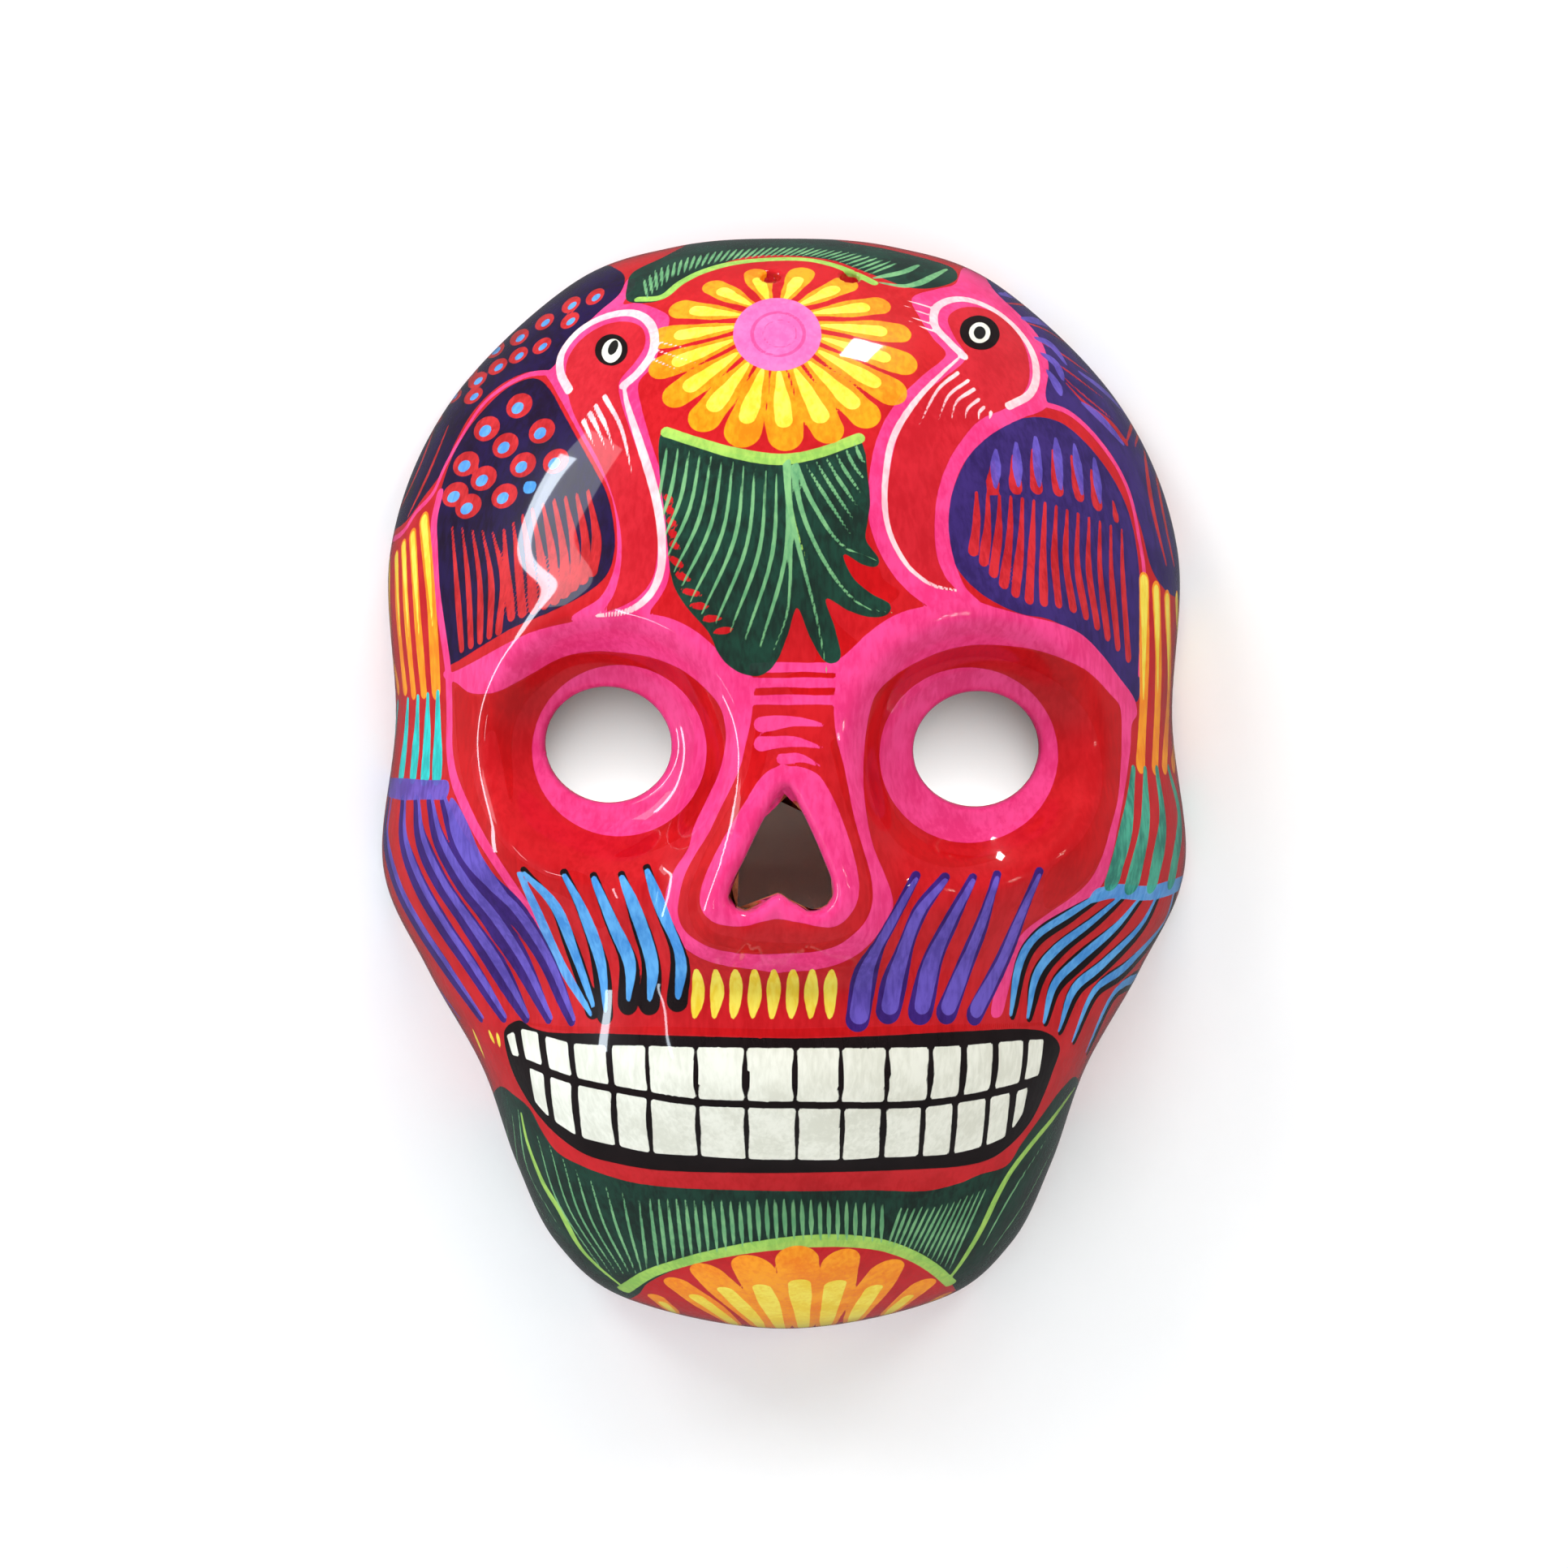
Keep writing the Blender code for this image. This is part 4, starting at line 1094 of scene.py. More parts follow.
for path in ([(29.3, -20.2), (24.1, -30.3), (18.5, -40.8), (16.3, -52.3)], [(35.9, -20.4),
    (29.7, -29), (25.3, -40.8), (23.1, -50.4)], [(42, -20.5), (36.5, -31.5), (32.8, -39.6),
    (30.3, -50.4)], [(47.3, -19.9), (43.9, -30.9), (40.2, -40.2), (36.2, -50.4)], [(56.6, -19.4),
    (52.3, -29.7), (48.2, -39.6), (42.4, -50.9)]):
    path = np.array(path)
    stroke("indigo", path, 5.6, "petal")
    stroke("lavender", np.vstack([path[0] + (0, -0.9), path[1:3], path[3] + (0.4, 1.2)]), 4.0,
        "drop")

# %% the dashes under the nose
for k in range(8):
    across = -19.6 + 4.28 * k
    stroke("yellow", [(across + 0.2, -41.4), (across + 0.6 - 0.1 * k, -46), (across - 0.2, -51.6)],
        2.9)

# %% [markdown]
# The mouth
#
# The grin is a black band with two rows of enamel-white teeth left standing in it. A
# tooth is a four-cornered patch drawn a little small and then grown, which rounds its
# corners.

# %% the mouth
patch("black", [(-62, -57.2), (-61.7, -54.1), (-58.7, -52.4), (-55.8, -54.1), (-51.5, -55.1),
    (-43.8, -55.3), (-37, -55.4), (-24.5, -55.8), (2.9, -56.4), (21.6, -55.8), (31.2, -55.3),
    (40.9, -54.8), (52.9, -54.3), (58.7, -55.3), (61.2, -58.4), (59.7, -63.5), (57.5, -69.3),
    (54.6, -75.1), (50.2, -80.1), (45.4, -83.3), (39.1, -84.8), (30.9, -85.4), (18.9, -85.9),
    (-0.4, -86.3), (-14.9, -86.2), (-24.5, -85.9), (-30.3, -85.4), (-37, -84.2), (-43.8, -82.3),
    (-49.6, -78.5), (-54.4, -73.6), (-58.3, -67.8), (-60.7, -62.5)])
gum_line = [(-62.5, -56.2), (-57.4, -54.3), (-51.1, -56.6), (-43, -57.9), (-31.3, -58),
    (-20.5, -58.4), (6.5, -58.6), (31.7, -58.4), (43.4, -57.7), (50.6, -57), (58.1, -56.6)]
bite_line = [(-62.5, -59.8), (-56.5, -61.6), (-50.6, -64), (-43, -66), (-31.3, -68.1),
    (-20.5, -69.8), (-8.8, -70.3), (6.5, -70.5), (26.3, -70.5), (36.2, -69.6), (43.4, -68.5),
    (51.5, -66.7), (58.1, -64.3)]
chin_line = [(-58.3, -67.2), (-54.4, -73), (-46.1, -78.4), (-37.4, -80.5), (-29.9, -82),
    (-19.4, -82.7), (-8.3, -83.4), (13, -83.6), (21.6, -83.1), (30.8, -82.7), (38, -82.2),
    (45.2, -80.4), (50, -78.4), (54.4, -72.6)]
upper_gaps = [-62.3, -59.1, -53.8, -47.2, -38.9, -30.4, -19.6, -8.6, 2.5, 12.6, 22.9, 32.6, 39.8,
    47.0, 53.6, 58.1]
lower_gaps = [-57.2, -52.6, -46.4, -37.8, -29.9, -19.1, -8.3, 2.9, 13.0, 22.1, 30.8, 38.0, 45.2,
    50.8, 54.7]


def teeth(gaps, top_line, low_line, top_gap, low_gap, lean):
    """A row of teeth between two lines; gaps are the places of the dark lines."""
    rounding = 0.55
    top_path, low_path = smooth_path(top_line, 6), smooth_path(low_line, 6)
    for k, (left, right) in enumerate(zip(gaps, gaps[1:])):
        left, right = left + 0.5 + rounding, right - 0.5 - rounding
        if right - left < 0.2:
            left = right = (left + right) / 2
        corners = []
        for across, path, inset, tilt in ((left, top_path, -top_gap, 0), (right, top_path,
            -top_gap, 0),
                                          (right, low_path, low_gap, 1), (left, low_path, low_gap,
                                              1)):
            height = np.interp(across, path[:, 0], path[:, 1]) + inset
            bulge = 0.16 * math.sin(1.9 * k + across)
            corners.append((across + bulge + lean * tilt * across / 50, height))
        patch("enamel", corners, 1, rounding)


teeth(upper_gaps, gum_line, bite_line, 0.55, 0.55, -0.8)
teeth(lower_gaps, bite_line, chin_line, 1.9, 0.55, -1.0)
# A darker red line along the top of the mouth band is painted shade under the lip.
stroke("painted_shade_red", [(-56.5, -53.2), (-47.5, -54.3), (-29.5, -54.6), (-0.7, -55.2), (33.5, -54.3),
    (58.7, -53.2)], 1.8)

# %% [markdown]
# The chin
#
# Under the mouth a dark leaf wraps the chin from one side to the other, with a light
# edge below, and half a marigold fills the tip of the chin.

# %% the chin
patch("green", [(-59.5, -69.3), (-56.3, -72.2), (-53.4, -77.5), (-50.1, -81.8), (-44.8, -84.7),
    (-39, -86.9), (-31.7, -88.7), (-19.7, -89.8), (2.9, -90.3), (18.9, -90.1), (30.9, -90.3),
    (38.7, -88.6), (43.5, -86.6), (49.3, -84.7), (52.6, -79.9), (57.5, -73.1), (61.8, -67.4),
    (65.2, -65.4), (66.1, -77), (63.7, -91.5), (57.5, -105.9), (47.8, -115.6), (39.6, -113.7),
    (35.8, -108.8), (30.9, -105.9), (26.1, -103.5), (18.9, -101.6), (4.4, -101.1), (-5.2, -103),
    (-14.9, -105), (-24.5, -107.9), (-30.3, -110.8), (-33.2, -113.7), (-43.8, -116.5),
    (-55.8, -108.3), (-64, -91.5), (-66.5, -77), (-63.6, -67.4)])
stroke("lime", [(-58.3, -73.1), (-56.8, -79.9), (-53.4, -88.6), (-49.6, -94.8), (-45.7, -102.1),
    (-41.4, -106.9), (-35.6, -111.7)], 2.4, "leaf")
stroke("lime", [(64.5, -67.4), (59.7, -74.1), (55.3, -79.4), (50.5, -85.7), (47.2, -91.5),
    (43.8, -98.7), (40.1, -105), (36.7, -109.8)], 2.2, "leaf")
stroke("lime", [(-35.6, -112.2), (-29.3, -108.4), (-19.7, -105.4), (-10, -103.3), (-0.4, -102),
    (7.1, -101.4), (14.1, -101.4), (21.6, -102.3), (28.3, -104.6), (33.2, -107.5), (37, -110.8)],
    3.0, "even")
comb("leaf_hair", [[(-54.9, -77.5), (-43.8, -87.1), (-32.2, -92)], [(-50.1, -92.9), (-41.9, -97.3),
    (-31.3, -99.7)], [(-39.4, -109.1), (-34.6, -108.8), (-30.3, -107.9)]], 8, 0.75)
comb("leaf_hair", [[(-27.9, -107.1), (-10, -102.8), (-0.4, -101.1), (21.6, -101.6)], [(-29.8, -92),
    (-10, -92.4), (-0.4, -92), (21.8, -92.9)]], 27, 1.0)
comb("leaf_hair", [[(23.2, -102.1), (30, -104.2), (36.5, -107.9)], [(26.1, -93.9), (34.8, -93.4),
    (44.9, -89.5)]], 14, 0.8)
comb("leaf_hair", [[(59.4, -77), (64.7, -79.9)], [(50.7, -90.5), (59.4, -96.3)], [(44, -102.6),
    (47.8, -108.3)]], 4, 0.8)
comb("leaf_hair", [[(-59, -72.2), (-63.1, -75.1)], [(-56.8, -85.7), (-60.2, -91.5)],
    [(-49.6, -98.7), (-51.5, -103.5)]], 4, 0.7)
for (low, tip), width in (([(-23.1, -118.3), (-28.2, -114)], 4.6), ([(-8.9, -121.2),
    (-23.4, -111.1)], 7.4), ([(-3.2, -121.9), (-16.7, -108.7)], 8.6), ([(0.4, -123.2),
    (-6.9, -107.4)], 9.2), ([(4.7, -123.8), (2.9, -105.8)], 9.6), ([(8.3, -123.8), (12.6, -106.1)],
    9.6), ([(12.9, -122.5), (22.6, -107.9)], 8.8), ([(19.3, -120.6), (30.6, -111.3)], 6.4),
    ([(25.8, -118.7), (35.4, -113.5)], 4.2)):
    low, tip = np.array(low), np.array(tip)
    stroke("orange", [low, (low + tip) / 2, tip], width, "petal")
    stroke("yellow", [low, low * 0.55 + tip * 0.45, low * 0.28 + tip * 0.72], width * 0.5, "drop")
for low, tip in ([(-66.5, -60.6), (-69.1, -54.3)], [(-64.3, -57.5), (-65.5, -54.6)],
    [(-63.1, -58.2), (-63.6, -55.3)]):
    stroke("yellow", [low, tip], 1.5)

# %% [markdown]
# Painted shade in a deeper red
#
# Above the eyes, beside the nose and in the hollows of the cheeks the red is painted darker, as painted
# shade: it stands in for the shade of those hollows and for the reflection of the room that the gloss shows
# less of there. These patches are the lowest layer.

# %% the painted shade in deeper red
patch("painted_shade_red", [(-63.9, 20.2), (-57.1, 23.3), (-49.7, 27.7), (-42.9, 29.1), (-36.7, 28.9),
    (-29.2, 27.7), (-23, 25.2), (-18.1, 21.5), (-14.4, 17.1), (-12.8, 12.5), (-13.1, 6.9),
    (-14.4, 2), (-17.5, -4.2), (-20.6, -9.8), (-26.1, -13.7), (-33.6, -16.1), (-37.6, -15.9),
    (-32.3, -12.9), (-26.1, -8.6), (-21.8, -3.6), (-19.9, 2.6), (-19.3, 8.8), (-20.6, 15),
    (-24.9, 21.2), (-32.3, 25.5), (-39.8, 27.1), (-47.2, 26.1), (-52.2, 23), (-56.5, 19.3),
    (-59.6, 13.7), (-60.4, 7.5), (-60.1, 1.3), (-60.4, -4.2), (-61.5, -1.1), (-63, 6.9),
    (-64.6, 11.9), (-67.7, 8.8), (-71.1, 3.8), (-72.5, 8.8), (-72.7, 15), (-72.9, 21.5),
    (-68.3, 19.6)])
patch("painted_shade_red", [(20.4, 19.3), (24.1, 23.3), (29, 26.4), (35.2, 29.2), (41.4, 30.5), (47.6, 30.5),
    (55.1, 29.5), (61.3, 27.7), (67.5, 24.6), (72.4, 19.6), (74.8, 16.8), (74.6, 3.8),
    (73.7, -6.1), (70.6, -16), (65, -23.5), (58.8, -27.8), (57.5, -24.7), (58.8, -19.1),
    (65, -13.5), (69.3, -6.1), (70.6, 2.6), (68.7, 12.5), (63.7, 19.9), (56.3, 24.9), (46.4, 28),
    (36.5, 27.4), (27.8, 23.7), (22.8, 18.1), (21, 8.8), (22.2, -1.1), (27.2, -9.8), (35.2, -14.8),
    (43.9, -16), (50.7, -14.8), (45.1, -17.3), (36.5, -18.5), (27.8, -15.4), (22.2, -9.2),
    (19.1, -1.1), (18.5, 8.8)])
patch("painted_shade_red", [(-72.6, 20.6), (-68.3, 17.5), (-69.5, 7.5), (-68.3, -1.1), (-64.6, -9.8),
    (-59.6, -16), (-50.9, -21), (-47.2, -19.1), (-41, -22.2), (-38.5, -28.4), (-41, -32.1),
    (-47.2, -25.9), (-55.9, -22.2), (-60.8, -22.2), (-67, -11.1), (-70.5, -2.4), (-72.6, 8.8)])
stroke("painted_shade_red", [(-4.3, 12.9), (-7, 1.2), (-12.8, -8.7), (-17.5, -17.7), (-20.3, -26.2),
    (-17.3, -33.4), (-7.9, -35.9), (2, -36.6), (11.9, -35.7), (18.4, -32.1), (20.2, -24.9),
    (18.4, -15), (14.6, -3.3), (11.9, 8.4)], 3.4, "even")
patch("painted_shade_red", [(1.9, 41.2), (5.1, 37), (7.2, 29.6), (5.6, 25.9), (-0.2, 23.2), (6.1, 18),
    (15.6, 24.3), (17.8, 29.6), (12.5, 34.9), (7.2, 41.2)])
patch("painted_shade_red", [(13, 51.2), (20.4, 48.6), (22, 45.4), (25.7, 42.3), (20.4, 39.1), (15.1, 45.4)])
print("strokes and patches:", stroke_count)

# %% [markdown]
# One closed shell
#
# The net of the painted side, the net of the lining and the strips that join them at
# the rim and round the holes go into one mesh. Two kinds of data go with the points:
# how far each lies from the edge of each colour, and whether it is on the glazed side.

# %% the mesh
all_faces = [tuple(face) for face in skin_quads.tolist() + lining_quads.tolist()]
all_faces += [tuple(int(k) for k in face) for face in zipped]
used = np.unique(np.concatenate([skin_quads.ravel(), lining_quads.ravel()]))
renumber = np.full(len(points), -1)
renumber[used] = np.arange(len(used))
mask_mesh = bpy.data.meshes.new("painted_mask")
mask_mesh.from_pydata(points[used].tolist(), [], [[int(renumber[k]) for k in face] for face in all_faces])


def give_numbers(name, on_skin, on_lining):
    """A number on every point of the shell, from the two nets."""
    values = np.concatenate([on_skin.ravel(), on_lining.ravel()])[used]
    attribute = mask_mesh.attributes.new(name, "FLOAT", "POINT")
    attribute.data.foreach_set("value", values.astype(np.float32))


for name in LAYERS:
    give_numbers(name, layers[name] / MM, np.full((COARSE, COARSE), -REACH / MM))
give_numbers("coat", np.ones((FINE, FINE)), np.zeros((COARSE, COARSE)))

# %% the flat map
# The painted side takes the left of the map, the lining the lower right, and the strips
# lie above it, one over another.
PAINTED_SHARE = 0.70
MAP_EDGE = 0.01


def net_places(count, left, low, width, height):
    across, up = np.meshgrid(np.linspace(0, 1, count), np.linspace(0, 1, count), indexing="ij")
    return np.stack([left + width * across, low + height * up], axis=-1).reshape(-1, 2)


lining_left = PAINTED_SHARE + 2 * MAP_EDGE
lining_width = 1 - MAP_EDGE - lining_left
places = np.vstack([
    net_places(FINE, MAP_EDGE, MAP_EDGE, PAINTED_SHARE, 1 - 2 * MAP_EDGE),
    net_places(COARSE, lining_left, MAP_EDGE, lining_width, 0.5 - 2 * MAP_EDGE),
])
strip_places = np.array(strips, dtype=float)
strip_places[..., 0] = lining_left + lining_width * strip_places[..., 0]
strip_places[..., 1] = 0.52 + 0.07 * strip_places[..., 1]
corner_places = np.vstack([places[skin_quads.ravel()], places[lining_quads.ravel()],
                           strip_places.reshape(-1, 2)])
flat_map = mask_mesh.uv_layers.new(name="OFBake")
flat_map.data.foreach_set("uv", corner_places.astype(np.float32).ravel())
mask_mesh.shade_smooth()
painted_mask = bpy.data.objects.new("painted_mask", mask_mesh)
bpy.context.scene.collection.objects.link(painted_mask)
print("shell:", len(mask_mesh.vertices), "points,", len(mask_mesh.polygons), "faces")

# %% [markdown]
# Paint as a node group
#
# The same thing happens for every colour: a brush load of paint covers what is under it,
# a little thicker and thinner along the bristles, and its edge stands up a hair's breadth.
# So one node group does it, and the material strings one group after another.

# %% node helpers


def linear(red, green, blue):
    """A colour as numbers from 0 to 255 on a screen, turned into light."""
    def one(value):
        value /= 255
        return value / 12.92 if value <= 0.04045 else ((value + 0.055) / 1.055) ** 2.4
    return one(red), one(green), one(blue), 1.0


def add_node(tree, kind, settings=None, **inputs):
    """A node with its settings, and its inputs given as values or as sockets."""
    node = tree.nodes.new(kind)
    for key, value in (settings or {}).items():
        setattr(node, key, value)
    for key, value in inputs.items():
        socket = node.inputs[int(key[1:]) if key[0] == "i" and key[1:].isdigit() else key.replace("_", " ")]
        if isinstance(value, bpy.types.NodeSocket):
            tree.links.new(value, socket)
        else:
            socket.default_value = value
    return node


def math_node(tree, operation, *values):
    inputs = {"i%d" % k: value for k, value in enumerate(values)}
    return add_node(tree, "ShaderNodeMath", {"operation": operation}, **inputs).outputs[0]


def mix_colour(tree, share, under, over, blend="MIX"):
    node = add_node(tree, "ShaderNodeMix", {"data_type": "RGBA", "blend_type": blend},
                    i0=share, i6=under, i7=over)
    return node.outputs[2]


def ease(tree, value, low, high, to_low=0.0, to_high=1.0):
    node = add_node(tree, "ShaderNodeMapRange", {"interpolation_type": "SMOOTHSTEP"},
                    i0=value, i1=low, i2=high, i3=to_low, i4=to_high)
    return node.outputs[0]


def new_group(name, inputs, outputs):
    """An empty node group with its sockets; returns it and its two end nodes."""
    group = bpy.data.node_groups.new(name, "ShaderNodeTree")
    for socket, kind, value in inputs:
        made = group.interface.new_socket(socket, in_out="INPUT", socket_type="NodeSocket" + kind)
        if value is not None:
            made.default_value = value
    for socket, kind in outputs:
        group.interface.new_socket(socket, in_out="OUTPUT", socket_type="NodeSocket" + kind)
    return group, group.nodes.new("NodeGroupInput"), group.nodes.new("NodeGroupOutput")


# %% one coat of paint
def make_paint_group():
    group, given, result = new_group(
        "coat of paint",
        [("Under", "Color", None), ("Under Height", "Float", 0.0), ("Distance", "Float", 0.0),
         ("Light", "Color", None), ("Dark", "Color", None), ("Streak", "Float", 0.5),
         ("Tremble", "Float", 0.0), ("Cover", "Float", 0.97)],
        [("Colour", "Color"), ("Height", "Float")])
    edge = math_node(group, "MULTIPLY_ADD", given.outputs["Tremble"], 0.16, given.outputs["Distance"])
    lies = ease(group, edge, -0.10, 0.10)
    raised = ease(group, edge, -0.15, 0.15)
    sunk = ease(group, edge, 0.2, 0.9, 1.0, 0.6)
    bead = math_node(group, "MULTIPLY", raised, sunk)
    cover = math_node(group, "MULTIPLY", lies, given.outputs["Cover"])
    tone = mix_colour(group, given.outputs["Streak"], given.outputs["Dark"], given.outputs["Light"])
    group.links.new(mix_colour(group, cover, given.outputs["Under"], tone), result.inputs["Colour"])
    height = math_node(group, "ADD", given.outputs["Under Height"], bead)
    group.links.new(height, result.inputs["Height"])
    return group


paint_group = make_paint_group()

# %% [markdown]
# The glazed and painted clay
#
# Commercial acrylic and aniline colours over white slip, then a thick clear gloss. The
# clear coat is a coat on the shader; the paint below it is satin. Where the coat number
# falls to nothing the bare terracotta of the inside shows.

# %% the colours, light and dark
PAINTS = {
    # The first entry is painted shade, the darker red of the hollows.
    "painted_shade_red": ((196, 2, 8), (176, 0, 4), 0.75),
    "navy": ((10, 12, 66), (3, 5, 38), 0.98),
    "plum": ((52, 40, 112), (36, 28, 88), 0.98),
    "red_feather": ((212, 42, 44), (176, 22, 26), 0.94),
    "pink": ((242, 70, 140), (226, 48, 116), 0.98),
    "red_shape": ((202, 30, 38), (186, 20, 28), 0.97),
    "green": ((0, 66, 52), (0, 42, 35), 0.98),
    "red_top": ((206, 30, 36), (186, 16, 24), 0.97),
    "lime": ((172, 214, 96), (140, 190, 84), 0.95),
    "leaf_hair": ((132, 190, 130), (96, 160, 110), 0.90),
    "orange": ((255, 164, 20), (244, 128, 4), 0.96),
    "yellow": ((248, 234, 92), (240, 208, 48), 0.92),
    "black": ((14, 12, 14), (6, 5, 7), 0.99),
    "sky": ((96, 172, 232), (62, 138, 210), 0.96),
    "teal": ((64, 180, 150), (16, 120, 104), 0.96),
    "turquoise": ((24, 220, 212), (14, 176, 172), 0.97),
    "indigo": ((48, 30, 124), (32, 18, 96), 0.97),
    "lavender": ((108, 88, 192), (82, 64, 156), 0.95),
    "blush": ((250, 222, 222), (242, 186, 194), 0.92),
    "rose_top": ((255, 116, 182), (250, 96, 166), 0.98),
    "rose_line": ((236, 72, 142), (226, 58, 128), 0.75),
    "enamel": ((240, 240, 226), (222, 222, 206), 0.99),
    "black_top": ((14, 12, 14), (6, 5, 7), 0.99),
}
RED_LIGHT, RED_DARK = (200, 24, 32), (184, 14, 22)


def painted_clay():
    material = bpy.data.materials.new("painted_clay")
    material.use_nodes = True
    tree = material.node_tree
    shader = tree.nodes["Principled BSDF"]
    place = tree.nodes.new("ShaderNodeTexCoord").outputs["Object"]
    long_way = add_node(tree, "ShaderNodeMapping", {}, Vector=place, Scale=(1.0, 1.0, 0.28)).outputs[0]
    bristles = add_node(tree, "ShaderNodeTexNoise", {}, Vector=long_way, Scale=900.0, Detail=3.0,
                        Roughness=0.55, Distortion=0.4).outputs["Fac"]
    puddles = add_node(tree, "ShaderNodeTexNoise", {}, Vector=place, Scale=120.0, Detail=2.0).outputs["Fac"]
    half_puddles = math_node(tree, "MULTIPLY", puddles, 0.5)
    streak = ease(tree, math_node(tree, "MULTIPLY_ADD", bristles, 0.5, half_puddles), 0.36, 0.64)
    tremble = add_node(tree, "ShaderNodeTexNoise", {}, Vector=place, Scale=520.0, Detail=1.0).outputs["Fac"]
    tremble = math_node(tree, "SUBTRACT", tremble, 0.5)
    colour = mix_colour(tree, streak, linear(*RED_DARK), linear(*RED_LIGHT))
    height = math_node(tree, "MULTIPLY", bristles, 0.12)
    for name, (light, dark, cover) in PAINTS.items():
        distance = add_node(tree, "ShaderNodeAttribute", {"attribute_name": name}).outputs["Fac"]
        coat = add_node(tree, "ShaderNodeGroup", {"node_tree": paint_group}, Under=colour,
                        Distance=distance, Light=linear(*light), Dark=linear(*dark), Streak=streak,
                        Tremble=tremble, Cover=cover, Under_Height=height)
        colour, height = coat.outputs["Colour"], coat.outputs["Height"]
    glazed = add_node(tree, "ShaderNodeAttribute", {"attribute_name": "coat"}).outputs["Fac"]
    ragged_edge = math_node(tree, "ADD", glazed, math_node(tree, "MULTIPLY", tremble, 0.5))
    glazed = ease(tree, ragged_edge, 0.35, 0.6)
    grit = add_node(tree, "ShaderNodeTexNoise", {}, Vector=place, Scale=1400.0, Detail=4.0).outputs["Fac"]
    clay = mix_colour(tree, ease(tree, puddles, 0.3, 0.7), linear(158, 84, 56), linear(190, 112, 78))
    clay = mix_colour(tree, ease(tree, grit, 0.62, 0.72), clay, linear(120, 62, 42))
    tree.links.new(mix_colour(tree, glazed, clay, colour), shader.inputs["Base Color"])
    satin = ease(tree, bristles, 0.3, 0.7, 0.30, 0.44)
    rough = add_node(tree, "ShaderNodeMix", {"data_type": "FLOAT"}, i0=glazed, i2=0.9, i3=satin).outputs[0]
    tree.links.new(rough, shader.inputs["Roughness"])
    tree.links.new(glazed, shader.inputs["Coat Weight"])
    shader.inputs["Coat Roughness"].default_value = 0.04
    shader.inputs["Specular IOR Level"].default_value = 0.12
    relief = add_node(tree, "ShaderNodeMix", {"data_type": "FLOAT"}, i0=glazed,
                      i2=math_node(tree, "MULTIPLY", grit, 3.0), i3=height).outputs[0]
    bump = add_node(tree, "ShaderNodeBump", {}, Strength=0.55, Distance=0.00005, Height=relief)
    tree.links.new(bump.outputs["Normal"], shader.inputs["Normal"])
    return material


mask_mesh.materials.append(painted_clay())
print("coats of paint:", len(PAINTS))

# %% [markdown]
# Wall, floor and light
#
# The mask hangs on a plain white wall. The wall has no back, so that the hollow side of
# the mask can be looked at from behind it, and it lets lamps shine through from there.

# %% wall and floor


def plain_surface(name, size, place, turn, colour, glow=0.0):
    bpy.ops.mesh.primitive_plane_add(size=size, location=place, rotation=turn)
    surface = bpy.context.object
    surface.name = name
    material = bpy.data.materials.new(name)
    material.use_nodes = True
    tree = material.node_tree
    shader = tree.nodes["Principled BSDF"]
    spot = tree.nodes.new("ShaderNodeTexCoord").outputs["Object"]
    plaster = add_node(tree, "ShaderNodeTexNoise", {}, Vector=spot, Scale=60.0, Detail=4.0).outputs["Fac"]
    tone = mix_colour(tree, plaster, tuple(c * 0.985 for c in colour[:3]) + (1,), colour)
    tree.links.new(tone, shader.inputs["Base Color"])
    shader.inputs["Roughness"].default_value = 0.9
    shader.inputs["Specular IOR Level"].default_value = 0.1
    shader.inputs["Emission Color"].default_value = (1.0, 1.0, 1.0, 1.0)
    shader.inputs["Emission Strength"].default_value = glow
    behind = tree.nodes.new("ShaderNodeNewGeometry").outputs["Backfacing"]
    ray = tree.nodes.new("ShaderNodeLightPath").outputs
    first_look = math_node(tree, "LESS_THAN", ray["Diffuse Depth"], 0.5)
    to_lamp = math_node(tree, "MULTIPLY", ray["Is Shadow Ray"], first_look)
    behind = math_node(tree, "MAXIMUM", behind, to_lamp)
    clear = tree.nodes.new("ShaderNodeBsdfTransparent").outputs[0]
    both = add_node(tree, "ShaderNodeMixShader", {}, i0=behind, i1=shader.outputs[0], i2=clear)
    tree.links.new(both.outputs[0], tree.nodes["Material Output"].inputs["Surface"])
    surface.data.materials.append(material)
    return surface


WALL_GAP = 1.5 * MM
FLOOR_HEIGHT = -0.42
STAGE_SIZE = 6.0
WALL_GLOW = 0.015
white = (0.98, 0.98, 0.98, 1.0)
wall_depth = cad_high.y + WALL_GAP
wall = plain_surface("wall", STAGE_SIZE, (0, wall_depth, STAGE_SIZE / 2 + FLOOR_HEIGHT),
                     (math.radians(90), 0, 0), white, WALL_GLOW)
floor = plain_surface("floor", STAGE_SIZE, (0, wall_depth - STAGE_SIZE / 2, FLOOR_HEIGHT),
                      (0, 0, 0), white)
wall.visible_glossy = False     # a pale mirror image of them would dull the dark paints
floor.visible_glossy = False

# %% light
scene = bpy.context.scene
scene.view_settings.view_transform = "Standard"
world = bpy.data.worlds.new("studio")
scene.world = world
world.use_nodes = True
world.node_tree.nodes["Background"].inputs["Color"].default_value = (0.96, 0.98, 1.0, 1.0)
world.node_tree.nodes["Background"].inputs["Strength"].default_value = 0.12


FACE_MIDDLE = Vector((0, -0.04, 0))


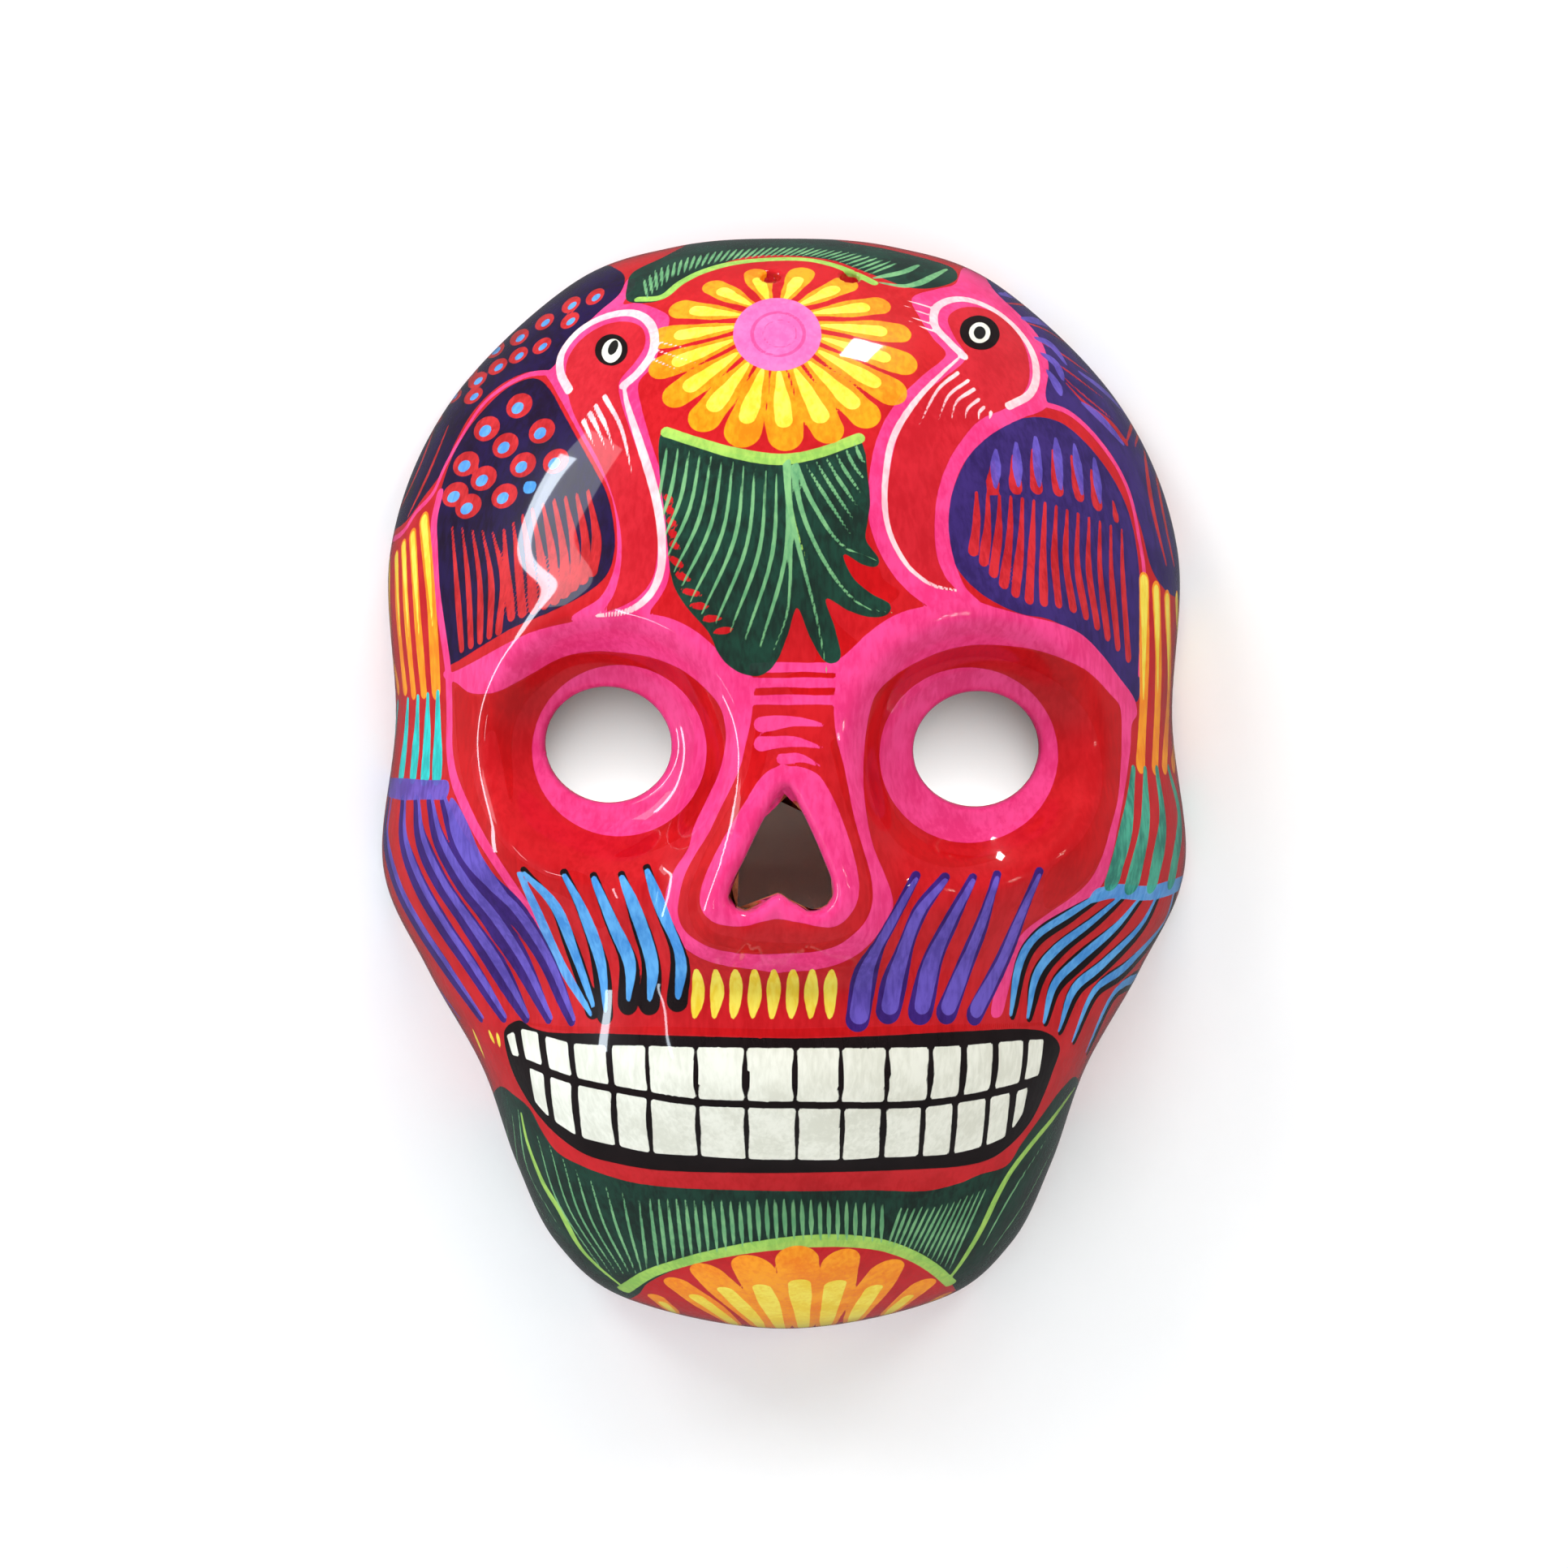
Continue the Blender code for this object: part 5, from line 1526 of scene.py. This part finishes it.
def lamp(name, place, size, power, colour=(1, 1, 1), tall=None, mirrored=True):
    """A soft lamp; one that isn't mirrored lights the clay and leaves no reflection."""
    data = bpy.data.lights.new(name, "AREA")
    data.energy = power
    data.color = colour
    data.size = size
    if tall:
        data.shape = "RECTANGLE"
        data.size_y = tall
    made = bpy.data.objects.new(name, data)
    made.location = place
    made.rotation_euler = (FACE_MIDDLE - Vector(place)).to_track_quat("-Z", "Y").to_euler()
    made.visible_glossy = mirrored
    scene.collection.objects.link(made)


lamp("soft_above", (0.08, -0.70, 1.05), 0.6, 6.3, mirrored=False)
lamp("soft_left", (-0.80, -0.80, 1.05), 0.5, 8.9, mirrored=False)
lamp("soft_right", (0.85, -0.80, 1.05), 0.5, 8.9, mirrored=False)
lamp("glare_top", (0.25, -0.10, 1.15), 0.10, 1.6)
lamp("pane_left", (-1.0, -0.40, 0.75), 0.30, 1.5, (0.86, 0.93, 1.0), tall=0.55)
lamp("window_left", (-1.25, -0.32, 0.28), 0.11, 7.5, (0.80, 0.90, 1.0), tall=1.35)
lamp("window_far", (-0.95, -1.05, -0.10), 0.03, 0.7, (0.80, 0.90, 1.0), tall=0.5)
for k in range(6):
    place = (0.75 + 0.10 * (k % 3), -1.0, 0.18 + 0.12 * (k // 3))
    lamp("warm_%d" % k, place, 0.022, 0.12, (1.0, 0.93, 0.80))

# The wall is bright behind the eyes and dark behind the nose. Plain light from the front
# leaves all three dark, so each eye has a small lamp of its own in the hollow.
EYE_LAMP_POWER = 0.061
EYE_LAMP_DEPTH = -0.030
for eye_x, eye_z in (EYE_LEFT, EYE_RIGHT):
    data = bpy.data.lights.new("behind_eye", "SPOT")
    data.energy = EYE_LAMP_POWER
    data.spot_size = math.radians(70)
    data.spot_blend = 0.6
    data.shadow_soft_size = 0.004
    made = bpy.data.objects.new("behind_eye", data)
    made.location = (eye_x, EYE_LAMP_DEPTH, eye_z - 0.030)
    below_eye = Vector((eye_x, 0, eye_z - 0.018))
    made.rotation_euler = (below_eye - made.location).to_track_quat("-Z", "Y").to_euler()
    made.visible_glossy = False
    scene.collection.objects.link(made)

# %% [markdown]
# The piece and its place in the frame

# %% hand over
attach(painted_mask, "root")
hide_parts("mask_shell")
